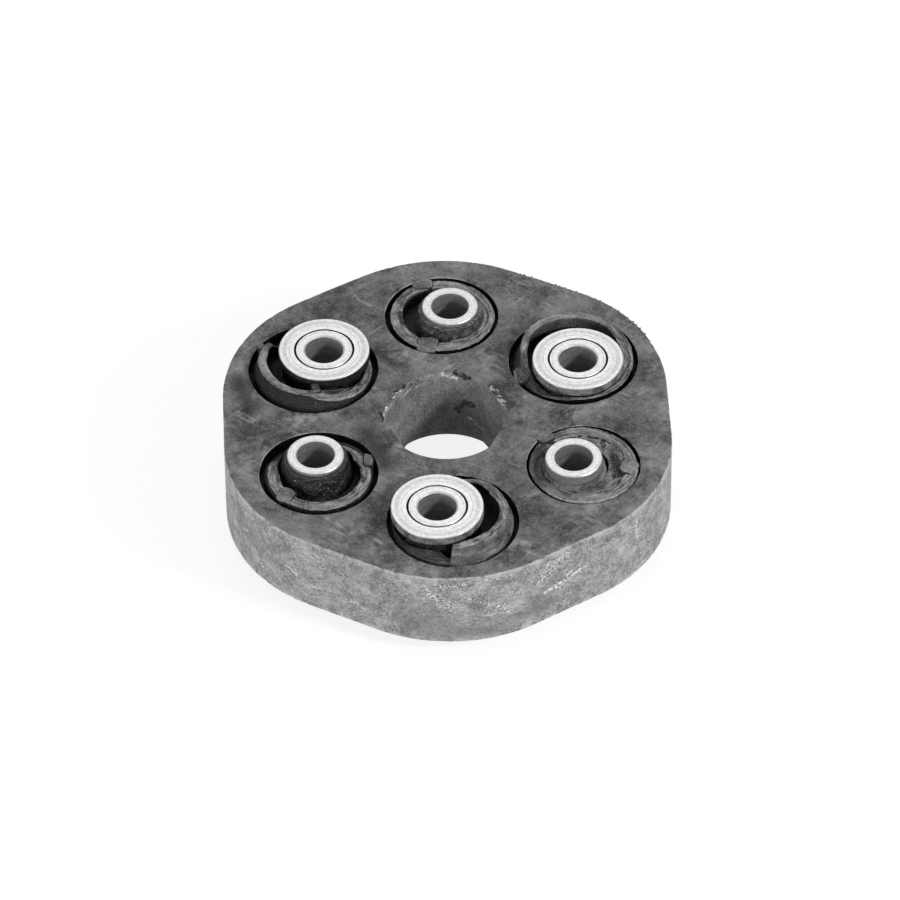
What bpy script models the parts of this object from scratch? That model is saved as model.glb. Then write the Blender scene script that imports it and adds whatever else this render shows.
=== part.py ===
"""Flex disc of a car's driveshaft: a rubber disc with six bolt sleeves joined by cord loops.

The frame is the disc's own: origin at its centre, +Z out of the top face. Every second sleeve
carries a wide flange washer at the top face, and the other three carry theirs at the bottom
face, so three bolts enter from each side. The parts of one end of a sleeve are built in the
sleeve's frame: +X points away from the disc's centre and +Y runs anticlockwise round it.
"""
import math

import bmesh
import bpy
from mathutils import Matrix

# Clearance left between two pieces that are bonded, pressed or seated together
GAP = 0.0003

# Rubber disc: a hexagon with very round corners
DISC_THICKNESS = 0.028
RIM_BEYOND_BOLTS = 0.0243
CORNER_RADIUS = 0.051
RIM_CHAMFER = 0.0007
CENTRE_HOLE_RADIUS = 0.020
CENTRE_HOLE_BULGE = 0.0016

# Bolt circle: two sleeves of a traction pair stand closer together than their neighbours
TRACTION_PAIRS = 3
BOLT_CIRCLE_DIAMETER = 0.095
FIRST_SLEEVE_ANGLE = math.radians(24.1)
TRACTION_PAIR_ANGLE = math.radians(57.9)

# Steel sleeve, which stands proud of the rubber at both faces
BOLT_BORE = 0.0121
SLEEVE_WALL = 0.0031
SLEEVE_CHAMFER = 0.0005
PLAIN_END_HEIGHT = 0.0046
FLANGED_END_HEIGHT = 0.0052

# Steel flange washer, flush with its sleeve's end
WASHER_RADIUS = 0.01475
WASHER_THICKNESS = 0.003
WASHER_CHAMFER = 0.0004

# Round pockets in both faces, whose centres lie ahead of their sleeves
POCKET_DEPTH = 0.005
PLAIN_POCKET_OUTWARD = 0.0009
PLAIN_POCKET_AHEAD = 0.0032
FLANGED_POCKET_OUTWARD = 0.0009
FLANGED_POCKET_AHEAD = 0.0050

# Rubber skirt bonded round each end of a sleeve
PLAIN_SKIRT_FOOT = 0.0030
PLAIN_SKIRT_TOP = 0.0009
PLAIN_SKIRT_BELOW_END = 0.0012
FLANGED_SKIRT_INSET = 0.0010
FLANGED_SKIRT_FLARE = 0.0006

# Guide collars in the pockets, thinnest behind the skirt, with a groove round them
PLAIN_COLLAR_BEHIND_SKIRT = 0.0012
PLAIN_COLLAR_WALL = 0.0038
PLAIN_GROOVE = 0.0018
FLANGED_COLLAR_SHIFT = 0.0015
FLANGED_COLLAR_BEHIND_SKIRT = 0.0016
FLANGED_COLLAR_WALL = 0.0024
FLANGED_GROOVE = 0.0018
COLLAR_TOP_CHAMFER = 0.0004
TAB_WIDTH = 0.006
TAB_CORNER = 0.0010
TAB_INNER_REACH = 0.0024
TAB_RISE = 0.0004
PLAIN_TAB_ANGLES = (math.radians(21), math.radians(167))
FLANGED_TAB_ANGLES = (math.radians(-6), math.radians(174))
LIP_HEIGHT = 0.0036
LIP_END_HEIGHT = 0.0006
LIP_RAMP = 1 / 3
LIP_INSET = 0.0002
LIP_START = math.radians(4)
LIP_END = math.radians(164)

# Cord loops: the traction loops lie in the upper level, the thrust loops in the lower one
LOOP_SKIN = 0.0014
LEVEL_WEB = 0.0008
TRACTION_LOOP_HEIGHT = 0.0076
TRACTION_LOOP_WIDTH = 0.0046
THRUST_LOOP_WIDTH = 0.0034
SPACER_WALL = 0.0022

# Facets
CORNER_STEPS = 8
POCKET_STEPS = 30
TURNED_STEPS = 24
WASHER_STEPS = 28
HOLE_STEPS = 48
LOOP_END_STEPS = 9
LIP_STEPS = 12
CUTTER_MARGIN = 0.002

# Sizes that follow from those above
STATIONS = 2 * TRACTION_PAIRS
PAIR_PITCH = 2 * math.pi / TRACTION_PAIRS
CORNER_PITCH = 2 * math.pi / STATIONS
HALF_THICKNESS = DISC_THICKNESS / 2
BOLT_CIRCLE_RADIUS = BOLT_CIRCLE_DIAMETER / 2
DISC_ACROSS_FLATS = BOLT_CIRCLE_DIAMETER + 2 * RIM_BEYOND_BOLTS
SLEEVE_RADIUS = BOLT_BORE / 2 + SLEEVE_WALL
POCKET_FLOOR = HALF_THICKNESS - POCKET_DEPTH
SPACER_RADIUS = SLEEVE_RADIUS + GAP + SPACER_WALL
LOOP_INNER_RADIUS = SPACER_RADIUS + GAP
CAVITY_TOP = POCKET_FLOOR - LOOP_SKIN
TRACTION_BASE = CAVITY_TOP - TRACTION_LOOP_HEIGHT - 2 * GAP
THRUST_TOP = TRACTION_BASE - LEVEL_WEB
SKIRT_ROOT = POCKET_FLOOR - LOOP_SKIN / 2
FLANGED_SKIRT_TOP = HALF_THICKNESS + FLANGED_END_HEIGHT - WASHER_THICKNESS - GAP
PLAIN_SKIRT_END = HALF_THICKNESS + PLAIN_END_HEIGHT - PLAIN_SKIRT_BELOW_END

RUBBER = ("moulded_rubber", (0.13, 0.13, 0.13), 0.75, 0.0)
COLLAR_RUBBER = ("collar_rubber", (0.10, 0.10, 0.10), 0.65, 0.0)
TURNED_STEEL = ("turned_steel", (0.78, 0.78, 0.78), 0.35, 1.0)
SPACER_ALUMINIUM = ("spacer_aluminium", (0.70, 0.71, 0.72), 0.45, 1.0)
CORD = ("wound_cord", (0.62, 0.58, 0.48), 0.85, 0.0)


def clear_scene():
    for item in list(bpy.data.objects):
        bpy.data.objects.remove(item, do_unlink=True)


def material(finish):
    """The material of a finish: its name, base colour, roughness and metallic value."""
    name, colour, roughness, metallic = finish
    made = bpy.data.materials.get(name)
    if made is None:
        made = bpy.data.materials.new(name)
        made.use_nodes = True
        made.diffuse_color = (*colour, 1.0)
        shader = made.node_tree.nodes["Principled BSDF"]
        shader.inputs["Base Color"].default_value = (*colour, 1.0)
        shader.inputs["Roughness"].default_value = roughness
        shader.inputs["Metallic"].default_value = metallic
    return made


def collection(name):
    made = bpy.data.collections.new(name)
    bpy.context.scene.collection.children.link(made)
    return made


def finished_mesh(bm, name):
    """Close a bmesh into a mesh whose faces point out, with its round sides shaded smooth."""
    bmesh.ops.remove_doubles(bm, verts=bm.verts, dist=1e-6)
    bmesh.ops.recalc_face_normals(bm, faces=bm.faces)
    mesh = bpy.data.meshes.new(name)
    bm.to_mesh(mesh)
    bm.free()
    mesh.shade_smooth()
    mesh.set_sharp_from_angle(angle=math.radians(30))
    return mesh


def add_piece(name, mesh, finish, parent=None):
    piece = bpy.data.objects.new(name, mesh)
    bpy.context.scene.collection.objects.link(piece)
    piece.data.materials.clear()
    piece.data.materials.append(material(finish))
    piece.parent = parent
    return piece


def add_cutter(name, mesh, group, parent=None):
    """A shape that only cuts or joins another one, kept out of the model."""
    cutter = bpy.data.objects.new(name, mesh)
    group.objects.link(cutter)
    cutter.parent = parent
    cutter.hide_render = True
    cutter.display_type = "WIRE"
    return cutter


def combine(piece, operation, group):
    """Join a group's shapes to a piece, or cut them out of it."""
    boolean = piece.modifiers.new(group.name, "BOOLEAN")
    boolean.operation = operation
    boolean.solver = "EXACT"
    boolean.operand_type = "COLLECTION"
    boolean.collection = group


def settled_mesh(piece, name):
    """The mesh of a piece with its modifiers worked in, for copies that share it."""
    graph = bpy.context.evaluated_depsgraph_get()
    mesh = bpy.data.meshes.new_from_object(piece.evaluated_get(graph))
    mesh.name = name
    return mesh


def circle_points(radius, steps):
    return [(radius * math.cos(2 * math.pi * step / steps),
             radius * math.sin(2 * math.pi * step / steps)) for step in range(steps)]


def prism(points, bottom, top, name):
    """An upright prism on an outline."""
    bm = bmesh.new()
    base = bm.faces.new([bm.verts.new((x, y, bottom)) for x, y in points])
    raised = bmesh.ops.extrude_face_region(bm, geom=[base])
    corners = [part for part in raised["geom"] if isinstance(part, bmesh.types.BMVert)]
    bmesh.ops.translate(bm, verts=corners, vec=(0, 0, top - bottom))
    return finished_mesh(bm, name)


def ring_prism(outer, inner, bottom, top, name):
    """An upright prism between two outlines with as many points as each other."""
    bm = bmesh.new()
    loops = []
    for points, height in ((outer, bottom), (outer, top), (inner, top), (inner, bottom)):
        loops.append([bm.verts.new((x, y, height)) for x, y in points])
    count = len(outer)
    for here, there in zip(loops, loops[1:] + loops[:1]):
        for i in range(count):
            j = (i + 1) % count
            bm.faces.new((here[i], here[j], there[j], there[i]))
    return finished_mesh(bm, name)


def turned(profile, steps, name, side=1):
    """A closed profile of (radius, height) points spun round Z; side -1 turns it upside down."""
    bm = bmesh.new()
    corners = [bm.verts.new((radius, 0, side * height)) for radius, height in profile]
    edges = [bm.edges.new((a, b)) for a, b in zip(corners, corners[1:] + corners[:1])]
    bmesh.ops.spin(bm, geom=corners + edges, cent=(0, 0, 0), axis=(0, 0, 1),
                   angle=2 * math.pi, steps=steps, use_merge=True)
    return finished_mesh(bm, name)


def cone(base_radius, top_radius, base, top, name, side):
    """A solid cone frustum round Z; side -1 turns it upside down."""
    bm = bmesh.new()
    rims = []
    for radius, height in ((base_radius, base), (top_radius, top)):
        rims.append([bm.verts.new((x, y, side * height))
                     for x, y in circle_points(radius, TURNED_STEPS)])
        bm.faces.new(rims[-1])
    lower, upper = rims
    for i in range(TURNED_STEPS):
        j = (i + 1) % TURNED_STEPS
        bm.faces.new((lower[i], lower[j], upper[j], upper[i]))
    return finished_mesh(bm, name)


def disc_outline():
    """A regular hexagon whose corners are arcs; a flat lies at +X and another at -X."""
    corner_reach = (DISC_ACROSS_FLATS / 2 - CORNER_RADIUS) / math.cos(CORNER_PITCH / 2)
    points = []
    for corner in range(STATIONS):
        middle = CORNER_PITCH * (corner + 0.5)
        centre_x = corner_reach * math.cos(middle)
        centre_y = corner_reach * math.sin(middle)
        for step in range(CORNER_STEPS + 1):
            angle = middle + CORNER_PITCH * (step / CORNER_STEPS - 0.5)
            points.append((centre_x + CORNER_RADIUS * math.cos(angle),
                           centre_y + CORNER_RADIUS * math.sin(angle)))
    return points


def centre_hole_outline():
    """A circle whose wall bulges in to a flat towards each of the four side corners."""
    flat = CENTRE_HOLE_RADIUS - CENTRE_HOLE_BULGE
    points = []
    for step in range(HOLE_STEPS):
        angle = 2 * math.pi * step / HOLE_STEPS
        radius = CENTRE_HOLE_RADIUS
        for facing in (30, 150, 210, 330):
            across = math.cos(angle - math.radians(facing))
            if across > 0:
                radius = min(radius, flat / across)
        points.append((radius * math.cos(angle), radius * math.sin(angle)))
    return points


def sleeve_angle(station):
    """Every second sleeve, from the first, has its flange on top and its partner just behind it."""
    angle = FIRST_SLEEVE_ANGLE + PAIR_PITCH * (station // 2)
    if station % 2:
        angle += PAIR_PITCH - TRACTION_PAIR_ANGLE
    return angle


def flanged_on_top(station):
    return station % 2 == 0


def sleeve_spot(station):
    angle = sleeve_angle(station)
    return BOLT_CIRCLE_RADIUS * math.cos(angle), BOLT_CIRCLE_RADIUS * math.sin(angle)


def station_frames():
    """An empty on each sleeve's axis, which its pieces hang on."""
    frames = []
    for station in range(STATIONS):
        frame = bpy.data.objects.new(f"station_{station + 1}", None)
        bpy.context.scene.collection.objects.link(frame)
        frame.location = (*sleeve_spot(station), 0)
        frame.rotation_euler = (0, 0, sleeve_angle(station))
        frames.append(frame)
    return frames


def skirt_radii(flanged):
    """The foot and top radius of the rubber skirt, and the height of its top."""
    if flanged:
        foot = WASHER_RADIUS - FLANGED_SKIRT_INSET
        return foot, foot - FLANGED_SKIRT_FLARE, FLANGED_SKIRT_TOP
    return SLEEVE_RADIUS + PLAIN_SKIRT_FOOT, SLEEVE_RADIUS + PLAIN_SKIRT_TOP, PLAIN_SKIRT_END


def collar_radii(flanged):
    """A guide collar's inner and outer radius, and its centre in the sleeve's frame.

    The collar passes behind the skirt, so its radius follows from the skirt's. A flanged
    station's collar has crept from its pocket's centre back towards the sleeve.
    """
    foot = skirt_radii(flanged)[0] + GAP
    if not flanged:
        outward, ahead = PLAIN_POCKET_OUTWARD, PLAIN_POCKET_AHEAD
        outer = math.hypot(outward, ahead) + foot + PLAIN_COLLAR_BEHIND_SKIRT
        return outer - PLAIN_COLLAR_WALL, outer, (outward, ahead)
    outward, ahead = FLANGED_POCKET_OUTWARD, FLANGED_POCKET_AHEAD
    offset = math.hypot(outward, ahead)
    left = 1 - FLANGED_COLLAR_SHIFT / offset
    outer = left * offset + foot + FLANGED_COLLAR_BEHIND_SKIRT
    return outer - FLANGED_COLLAR_WALL, outer, (left * outward, left * ahead)


def pocket_place(flanged):
    """A pocket's centre in its sleeve's frame, and its radius, a groove wider than its collar."""
    outer = collar_radii(flanged)[1]
    if flanged:
        return FLANGED_POCKET_OUTWARD, FLANGED_POCKET_AHEAD, outer + FLANGED_GROOVE
    return PLAIN_POCKET_OUTWARD, PLAIN_POCKET_AHEAD, outer + PLAIN_GROOVE


def stadium(pair, radius):
    """The outline of a band of the given radius laid round the two sleeves of a pair."""
    (ax, ay), (bx, by) = (sleeve_spot(station) for station in pair)
    along = math.atan2(by - ay, bx - ax)
    points = []
    for centre_x, centre_y, start in ((bx, by, along - math.pi / 2), (ax, ay, along + math.pi / 2)):
        for step in range(LOOP_END_STEPS + 1):
            angle = start + math.pi * step / LOOP_END_STEPS
            points.append((centre_x + radius * math.cos(angle), centre_y + radius * math.sin(angle)))
    return points


def loop_core(pair):
    """The rubber inside a loop: it fills the space between the strands and the two spacers."""
    (ax, ay), (bx, by) = (sleeve_spot(station) for station in pair)
    along = math.atan2(by - ay, bx - ax)
    reach = LOOP_INNER_RADIUS + GAP
    opening = math.asin((LOOP_INNER_RADIUS - GAP) / reach)
    points = []
    for centre_x, centre_y, middle in ((bx, by, along + math.pi), (ax, ay, along)):
        for step in range(LOOP_END_STEPS + 1):
            angle = middle + opening - 2 * opening * step / LOOP_END_STEPS
            points.append((centre_x + reach * math.cos(angle), centre_y + reach * math.sin(angle)))
    return points


def loop_levels():
    """Each kind of loop: its name, the first sleeve of its first pair, width, bottom and top."""
    traction = ("traction", 1, TRACTION_LOOP_WIDTH, TRACTION_BASE, CAVITY_TOP)
    thrust = ("thrust", 0, THRUST_LOOP_WIDTH, -CAVITY_TOP, THRUST_TOP)
    return traction, thrust


def pairs_from(first):
    return [((first + 2 * turn) % STATIONS, (first + 2 * turn + 1) % STATIONS)
            for turn in range(TRACTION_PAIRS)]


def make_disc(frames):
    """The rubber disc: hexagon, less the pockets, plus the skirts, less everything inside it."""
    disc = add_piece("rubber_disc", prism(disc_outline(), -HALF_THICKNESS, HALF_THICKNESS, "disc"),
                     RUBBER)
    chamfer = disc.modifiers.new("rim_chamfer", "BEVEL")
    chamfer.width = RIM_CHAMFER
    chamfer.segments = 1
    chamfer.limit_method = "ANGLE"
    chamfer.angle_limit = math.radians(45)

    pockets = collection("pocket_cutters")
    skirts = collection("skirts")
    inside = collection("inside_cutters")
    for station, frame in enumerate(frames):
        for side in (1, -1):
            flanged = flanged_on_top(station) == (side == 1)
            outward, ahead, radius = pocket_place(flanged)
            span = sorted((side * POCKET_FLOOR, side * (HALF_THICKNESS + CUTTER_MARGIN)))
            hollow = add_cutter(f"pocket_{station + 1}_{side}",
                                prism(circle_points(radius, POCKET_STEPS), *span, "pocket"),
                                pockets, frame)
            hollow.location = (outward, ahead, 0)
            foot, top, height = skirt_radii(flanged)
            add_cutter(f"skirt_{station + 1}_{side}",
                       cone(foot, top, SKIRT_ROOT, height, "skirt", side), skirts, frame)
        reach = HALF_THICKNESS + FLANGED_END_HEIGHT + CUTTER_MARGIN
        add_cutter(f"sleeve_hole_{station + 1}",
                   prism(circle_points(SLEEVE_RADIUS + GAP, TURNED_STEPS), -reach, reach, "hole"),
                   inside, frame)
        add_cutter(f"spacer_seat_{station + 1}",
                   prism(circle_points(SPACER_RADIUS + GAP, TURNED_STEPS),
                         -CAVITY_TOP, CAVITY_TOP, "seat"), inside, frame)
    add_cutter("centre_hole", prism(centre_hole_outline(), -HALF_THICKNESS - CUTTER_MARGIN,
                                    HALF_THICKNESS + CUTTER_MARGIN, "centre_hole"), inside)
    for kind, first, width, bottom, top in loop_levels():
        for pair in pairs_from(first):
            cores = collection(f"{kind}_core_{pair[0] + 1}")
            add_cutter(f"{kind}_core_{pair[0] + 1}",
                       prism(loop_core(pair), bottom - CUTTER_MARGIN, top + CUTTER_MARGIN, "core"),
                       cores)
            outline = stadium(pair, LOOP_INNER_RADIUS + width + GAP)
            cavity = add_cutter(f"{kind}_cavity_{pair[0] + 1}",
                                prism(outline, bottom, top, "cavity"), inside)
            combine(cavity, "DIFFERENCE", cores)
    combine(disc, "DIFFERENCE", pockets)
    combine(disc, "UNION", skirts)
    combine(disc, "DIFFERENCE", inside)


def make_sleeves(frames):
    """Turned steel tubes, chamfered at both ends; the flanged end stands a little higher."""
    bore = BOLT_BORE / 2
    chamfer = SLEEVE_CHAMFER
    for station, frame in enumerate(frames):
        ends = (HALF_THICKNESS + FLANGED_END_HEIGHT, -HALF_THICKNESS - PLAIN_END_HEIGHT)
        if not flanged_on_top(station):
            ends = (-ends[1], -ends[0])
        top, bottom = ends
        profile = [(bore + chamfer, top), (SLEEVE_RADIUS - chamfer, top),
                   (SLEEVE_RADIUS, top - chamfer), (SLEEVE_RADIUS, bottom + chamfer),
                   (SLEEVE_RADIUS - chamfer, bottom), (bore + chamfer, bottom),
                   (bore, bottom + chamfer), (bore, top - chamfer)]
        mesh = turned(profile, TURNED_STEPS, "sleeve")
        add_piece(f"bolt_sleeve_{station + 1}", mesh, TURNED_STEEL, frame)


def make_washers(frames):
    """Steel flange washers, pressed on the sleeves and flush with their ends."""
    top = HALF_THICKNESS + FLANGED_END_HEIGHT
    profile = [(SLEEVE_RADIUS + GAP, top), (WASHER_RADIUS - WASHER_CHAMFER, top),
               (WASHER_RADIUS, top - WASHER_CHAMFER), (WASHER_RADIUS, top - WASHER_THICKNESS),
               (SLEEVE_RADIUS + GAP, top - WASHER_THICKNESS)]
    for face, side in (("top", 1), ("bottom", -1)):
        mesh = turned(profile, WASHER_STEPS, f"{face}_washer", side)
        chosen = [frame for station, frame in enumerate(frames)
                  if flanged_on_top(station) == (side == 1)]
        for number, frame in enumerate(chosen, 1):
            add_piece(f"{face}_flange_washer_{number}", mesh, TURNED_STEEL, frame)


def collar_tab(flanged, angle, side, name):
    """A pad that bridges the groove from the collar's top to the pocket's wall."""
    inner, outer, (centre_x, centre_y) = collar_radii(flanged)
    pocket_x, pocket_y, pocket = pocket_place(flanged)
    shift_x = centre_x - pocket_x
    shift_y = centre_y - pocket_y
    along = shift_x * math.cos(angle) + shift_y * math.sin(angle)
    aside = abs(shift_x * math.sin(angle) - shift_y * math.cos(angle))
    half = TAB_WIDTH / 2
    wall = (pocket - GAP) * math.cos(math.pi / POCKET_STEPS)
    reach = math.sqrt(wall ** 2 - (aside + half) ** 2) - along
    start = outer - TAB_INNER_REACH
    outline = [(start, -half), (reach - TAB_CORNER, -half), (reach, TAB_CORNER - half),
               (reach, half - TAB_CORNER), (reach - TAB_CORNER, half), (start, half)]
    low = HALF_THICKNESS - POCKET_DEPTH / 2
    high = HALF_THICKNESS + TAB_RISE
    mesh = prism(outline, *sorted((side * low, side * high)), name)
    mesh.transform(Matrix.Rotation(angle, 4, "Z"))
    mesh.transform(Matrix.Translation((centre_x, centre_y, 0)))
    return mesh


def collar_lip(side):
    """The raised part of a flanged station's collar, highest ahead of the sleeve."""
    inner, outer, (centre_x, centre_y) = collar_radii(True)
    inner += LIP_INSET
    outer -= LIP_INSET
    low = HALF_THICKNESS - POCKET_DEPTH / 2
    bm = bmesh.new()
    sections = []
    for step in range(LIP_STEPS + 1):
        share = step / LIP_STEPS
        angle = LIP_START + (LIP_END - LIP_START) * share
        ramp = min(1.0, share / LIP_RAMP, (1 - share) / LIP_RAMP)
        high = HALF_THICKNESS + LIP_END_HEIGHT + (LIP_HEIGHT - LIP_END_HEIGHT) * ramp
        section = []
        for radius, height in ((inner, low), (outer, low), (outer, high), (inner, high)):
            section.append(bm.verts.new((centre_x + radius * math.cos(angle),
                                         centre_y + radius * math.sin(angle), side * height)))
        sections.append(section)
    for here, there in zip(sections, sections[1:]):
        for i in range(4):
            j = (i + 1) % 4
            bm.faces.new((here[i], here[j], there[j], there[i]))
    bm.faces.new(sections[0])
    bm.faces.new(sections[-1])
    return finished_mesh(bm, "lip")


def collar_mesh(flanged, side):
    """A guide collar: a ring with two tabs, a lip if it is flanged, trimmed round the skirt."""
    inner, outer, (centre_x, centre_y) = collar_radii(flanged)
    kind = f"{'flanged' if flanged else 'plain'}_collar_{side}"
    profile = [(inner, HALF_THICKNESS), (outer - COLLAR_TOP_CHAMFER, HALF_THICKNESS),
               (outer, HALF_THICKNESS - COLLAR_TOP_CHAMFER), (outer, POCKET_FLOOR + GAP),
               (inner, POCKET_FLOOR + GAP)]
    ring = turned(profile, POCKET_STEPS, kind, side)
    ring.transform(Matrix.Translation((centre_x, centre_y, 0)))
    pattern = add_cutter(f"{kind}_pattern", ring, bpy.context.scene.collection)
    added = collection(f"{kind}_added")
    angles = FLANGED_TAB_ANGLES if flanged else PLAIN_TAB_ANGLES
    for number, angle in enumerate(angles):
        name = f"{kind}_tab_{number}"
        add_cutter(name, collar_tab(flanged, angle, side, name), added)
    if flanged:
        add_cutter(f"{kind}_lip", collar_lip(side), added)
    combine(pattern, "UNION", added)
    foot, top, height = skirt_radii(flanged)
    trimmed = collection(f"{kind}_trimmed")
    skirt_room = cone(foot + GAP, top + GAP, SKIRT_ROOT, height, "skirt_room", side)
    add_cutter(f"{kind}_skirt_room", skirt_room, trimmed)
    combine(pattern, "DIFFERENCE", trimmed)
    return settled_mesh(pattern, kind)


def make_collars(frames):
    for face, side in (("top", 1), ("bottom", -1)):
        meshes = {flanged: collar_mesh(flanged, side) for flanged in (True, False)}
        for station, frame in enumerate(frames):
            flanged = flanged_on_top(station) == (side == 1)
            add_piece(f"{face}_guide_collar_{station + 1}", meshes[flanged], COLLAR_RUBBER, frame)


def make_spacers(frames):
    """Collars on the sleeves that hold the cord loops off the steel."""
    height = CAVITY_TOP - GAP
    profile = [(SLEEVE_RADIUS + GAP, height), (SPACER_RADIUS, height),
               (SPACER_RADIUS, -height), (SLEEVE_RADIUS + GAP, -height)]
    mesh = turned(profile, TURNED_STEPS, "spacer")
    for station, frame in enumerate(frames):
        add_piece(f"spacer_collar_{station + 1}", mesh, SPACER_ALUMINIUM, frame)


def make_loops():
    """Cord wound round two neighbouring sleeves and set in the rubber."""
    for kind, first, width, bottom, top in loop_levels():
        for number, pair in enumerate(pairs_from(first), 1):
            mesh = ring_prism(stadium(pair, LOOP_INNER_RADIUS + width),
                              stadium(pair, LOOP_INNER_RADIUS),
                              bottom + GAP, top - GAP, f"{kind}_loop_{number}")
            add_piece(f"{kind}_cord_loop_{number}", mesh, CORD)


clear_scene()
station_empties = station_frames()
make_disc(station_empties)
make_sleeves(station_empties)
make_washers(station_empties)
make_collars(station_empties)
make_spacers(station_empties)
make_loops()
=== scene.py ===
"""Looks of a driveshaft flex disc: worn moulded rubber round six steel bolt sleeves."""
import math

import bmesh
import bpy
from mathutils import Matrix, Vector, noise


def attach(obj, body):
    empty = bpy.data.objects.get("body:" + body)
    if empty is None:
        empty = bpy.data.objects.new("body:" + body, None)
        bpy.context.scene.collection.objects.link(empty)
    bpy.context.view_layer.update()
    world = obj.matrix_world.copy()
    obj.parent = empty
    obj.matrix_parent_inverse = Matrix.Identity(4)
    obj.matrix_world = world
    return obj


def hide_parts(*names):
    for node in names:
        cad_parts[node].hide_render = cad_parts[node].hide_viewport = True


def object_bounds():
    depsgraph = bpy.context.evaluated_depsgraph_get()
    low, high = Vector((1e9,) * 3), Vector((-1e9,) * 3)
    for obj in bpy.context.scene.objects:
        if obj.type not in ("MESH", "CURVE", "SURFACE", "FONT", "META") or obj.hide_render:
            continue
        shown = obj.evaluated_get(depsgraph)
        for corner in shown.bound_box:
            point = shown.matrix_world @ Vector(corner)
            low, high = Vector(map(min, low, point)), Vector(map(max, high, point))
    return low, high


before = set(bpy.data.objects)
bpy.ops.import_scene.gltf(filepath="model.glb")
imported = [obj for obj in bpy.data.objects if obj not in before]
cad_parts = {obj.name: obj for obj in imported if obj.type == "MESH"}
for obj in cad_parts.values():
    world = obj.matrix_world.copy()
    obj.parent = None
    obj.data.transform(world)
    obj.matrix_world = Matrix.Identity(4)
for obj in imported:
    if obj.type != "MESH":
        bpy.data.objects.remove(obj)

cad_low, cad_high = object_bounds()
MM = 0.001

# Camera, floor and lamps
# A small part on a white table in a photographer's light tent: seen from a low standing height
# in front, lit softly from the right and from the left front. The table is white melamine.
EYE_TARGET = Vector((0, 0, 14 * MM))
EYE_DISTANCE = 2.156
EYE_ELEVATION = math.radians(43.03)
EYE_TURN = math.radians(2.0)
EYE_ROLL = math.radians(-0.585)
EYE_LENS = 268.2
EYE_SHIFT = (0.00384, -0.0383)
TABLE_REACH = 4.0
TABLE_GLOW = 0.86
ROOM_SHOWN = 1.0
ROOM_LIGHT = 0.42

back = Vector((-math.sin(EYE_TURN) * math.cos(EYE_ELEVATION),
               -math.cos(EYE_TURN) * math.cos(EYE_ELEVATION), math.sin(EYE_ELEVATION)))
right = Vector((math.cos(EYE_TURN), -math.sin(EYE_TURN), 0))
upward = back.cross(right)
lens = bpy.data.cameras.new("eye")
lens.lens = EYE_LENS
lens.sensor_width = 36
lens.shift_x, lens.shift_y = EYE_SHIFT
lens.clip_end = 20
eye = bpy.data.objects.new("eye", lens)
bpy.context.scene.collection.objects.link(eye)
turn = Matrix((right, upward, back)).transposed().to_4x4()
eye.matrix_world = (Matrix.Translation(EYE_TARGET + EYE_DISTANCE * back) @ turn
                    @ Matrix.Rotation(EYE_ROLL, 4, "Z"))
bpy.context.scene.camera = eye
bpy.context.scene.view_settings.view_transform = "Standard"


def linear(colour):
    """An sRGB hex colour as the linear one that shaders and lamps take."""
    shares = [int(colour[i:i + 2], 16) / 255 for i in (1, 3, 5)]
    return (*(s / 12.92 if s <= 0.04045 else ((s + 0.055) / 1.055) ** 2.4 for s in shares), 1.0)


def add_node(tree, kind, feeds=None, stops=None, **settings):
    """A shader node with its settings, its sockets' values or feeds and its ramp's stops."""
    node = tree.nodes.new(kind)
    for name, value in settings.items():
        setattr(node, name, value)
    for socket, feed in (feeds or {}).items():
        if isinstance(feed, bpy.types.NodeSocket):
            tree.links.new(feed, node.inputs[socket])
        else:
            node.inputs[socket].default_value = feed
    for number, (place, shade) in enumerate(stops or ()):
        ramp = node.color_ramp.elements
        stop = ramp[number] if number < len(ramp) else ramp.new(place)
        stop.position = place
        stop.color = linear(shade) if isinstance(shade, str) else (shade, shade, shade, 1.0)
    return node


def shown_directly(tree):
    """1 for what the camera sees straight or mirrored in metal, 0 for what only lights."""
    seen = add_node(tree, "ShaderNodeLightPath").outputs
    return add_node(tree, "ShaderNodeMath", {0: seen["Is Camera Ray"], 1: seen["Is Glossy Ray"]},
                    operation="MAXIMUM").outputs[0]


def blank_material(name):
    made = bpy.data.materials.new(name)
    made.use_nodes = True
    made.node_tree.nodes.clear()
    return made, made.node_tree


# White melamine: matt and even, so it fades to the white of the room and keeps a soft shadow
melamine, tree = blank_material("white_melamine_smooth")
matt = add_node(tree, "ShaderNodeBsdfDiffuse", {"Color": linear("#c6c6c6")})
thin = add_node(tree, "ShaderNodeBsdfDiffuse", {"Color": linear("#7a7a7a")})
glow = add_node(tree, "ShaderNodeEmission", {"Color": linear("#ffffff"), "Strength": TABLE_GLOW})
lit = add_node(tree, "ShaderNodeAddShader", {0: thin.outputs[0], 1: glow.outputs[0]})
either = add_node(tree, "ShaderNodeMixShader", {0: shown_directly(tree), 1: matt.outputs[0],
                                                2: lit.outputs[0]})
add_node(tree, "ShaderNodeOutputMaterial", {"Surface": either.outputs[0]})

table_mesh = bpy.data.meshes.new("table")
table_bm = bmesh.new()
bmesh.ops.create_grid(table_bm, x_segments=2, y_segments=2, size=TABLE_REACH)
table_bm.to_mesh(table_mesh)
table_bm.free()
table = bpy.data.objects.new("table", table_mesh)
table.location.z = cad_low.z
table.data.materials.append(melamine)
bpy.context.scene.collection.objects.link(table)

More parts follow.
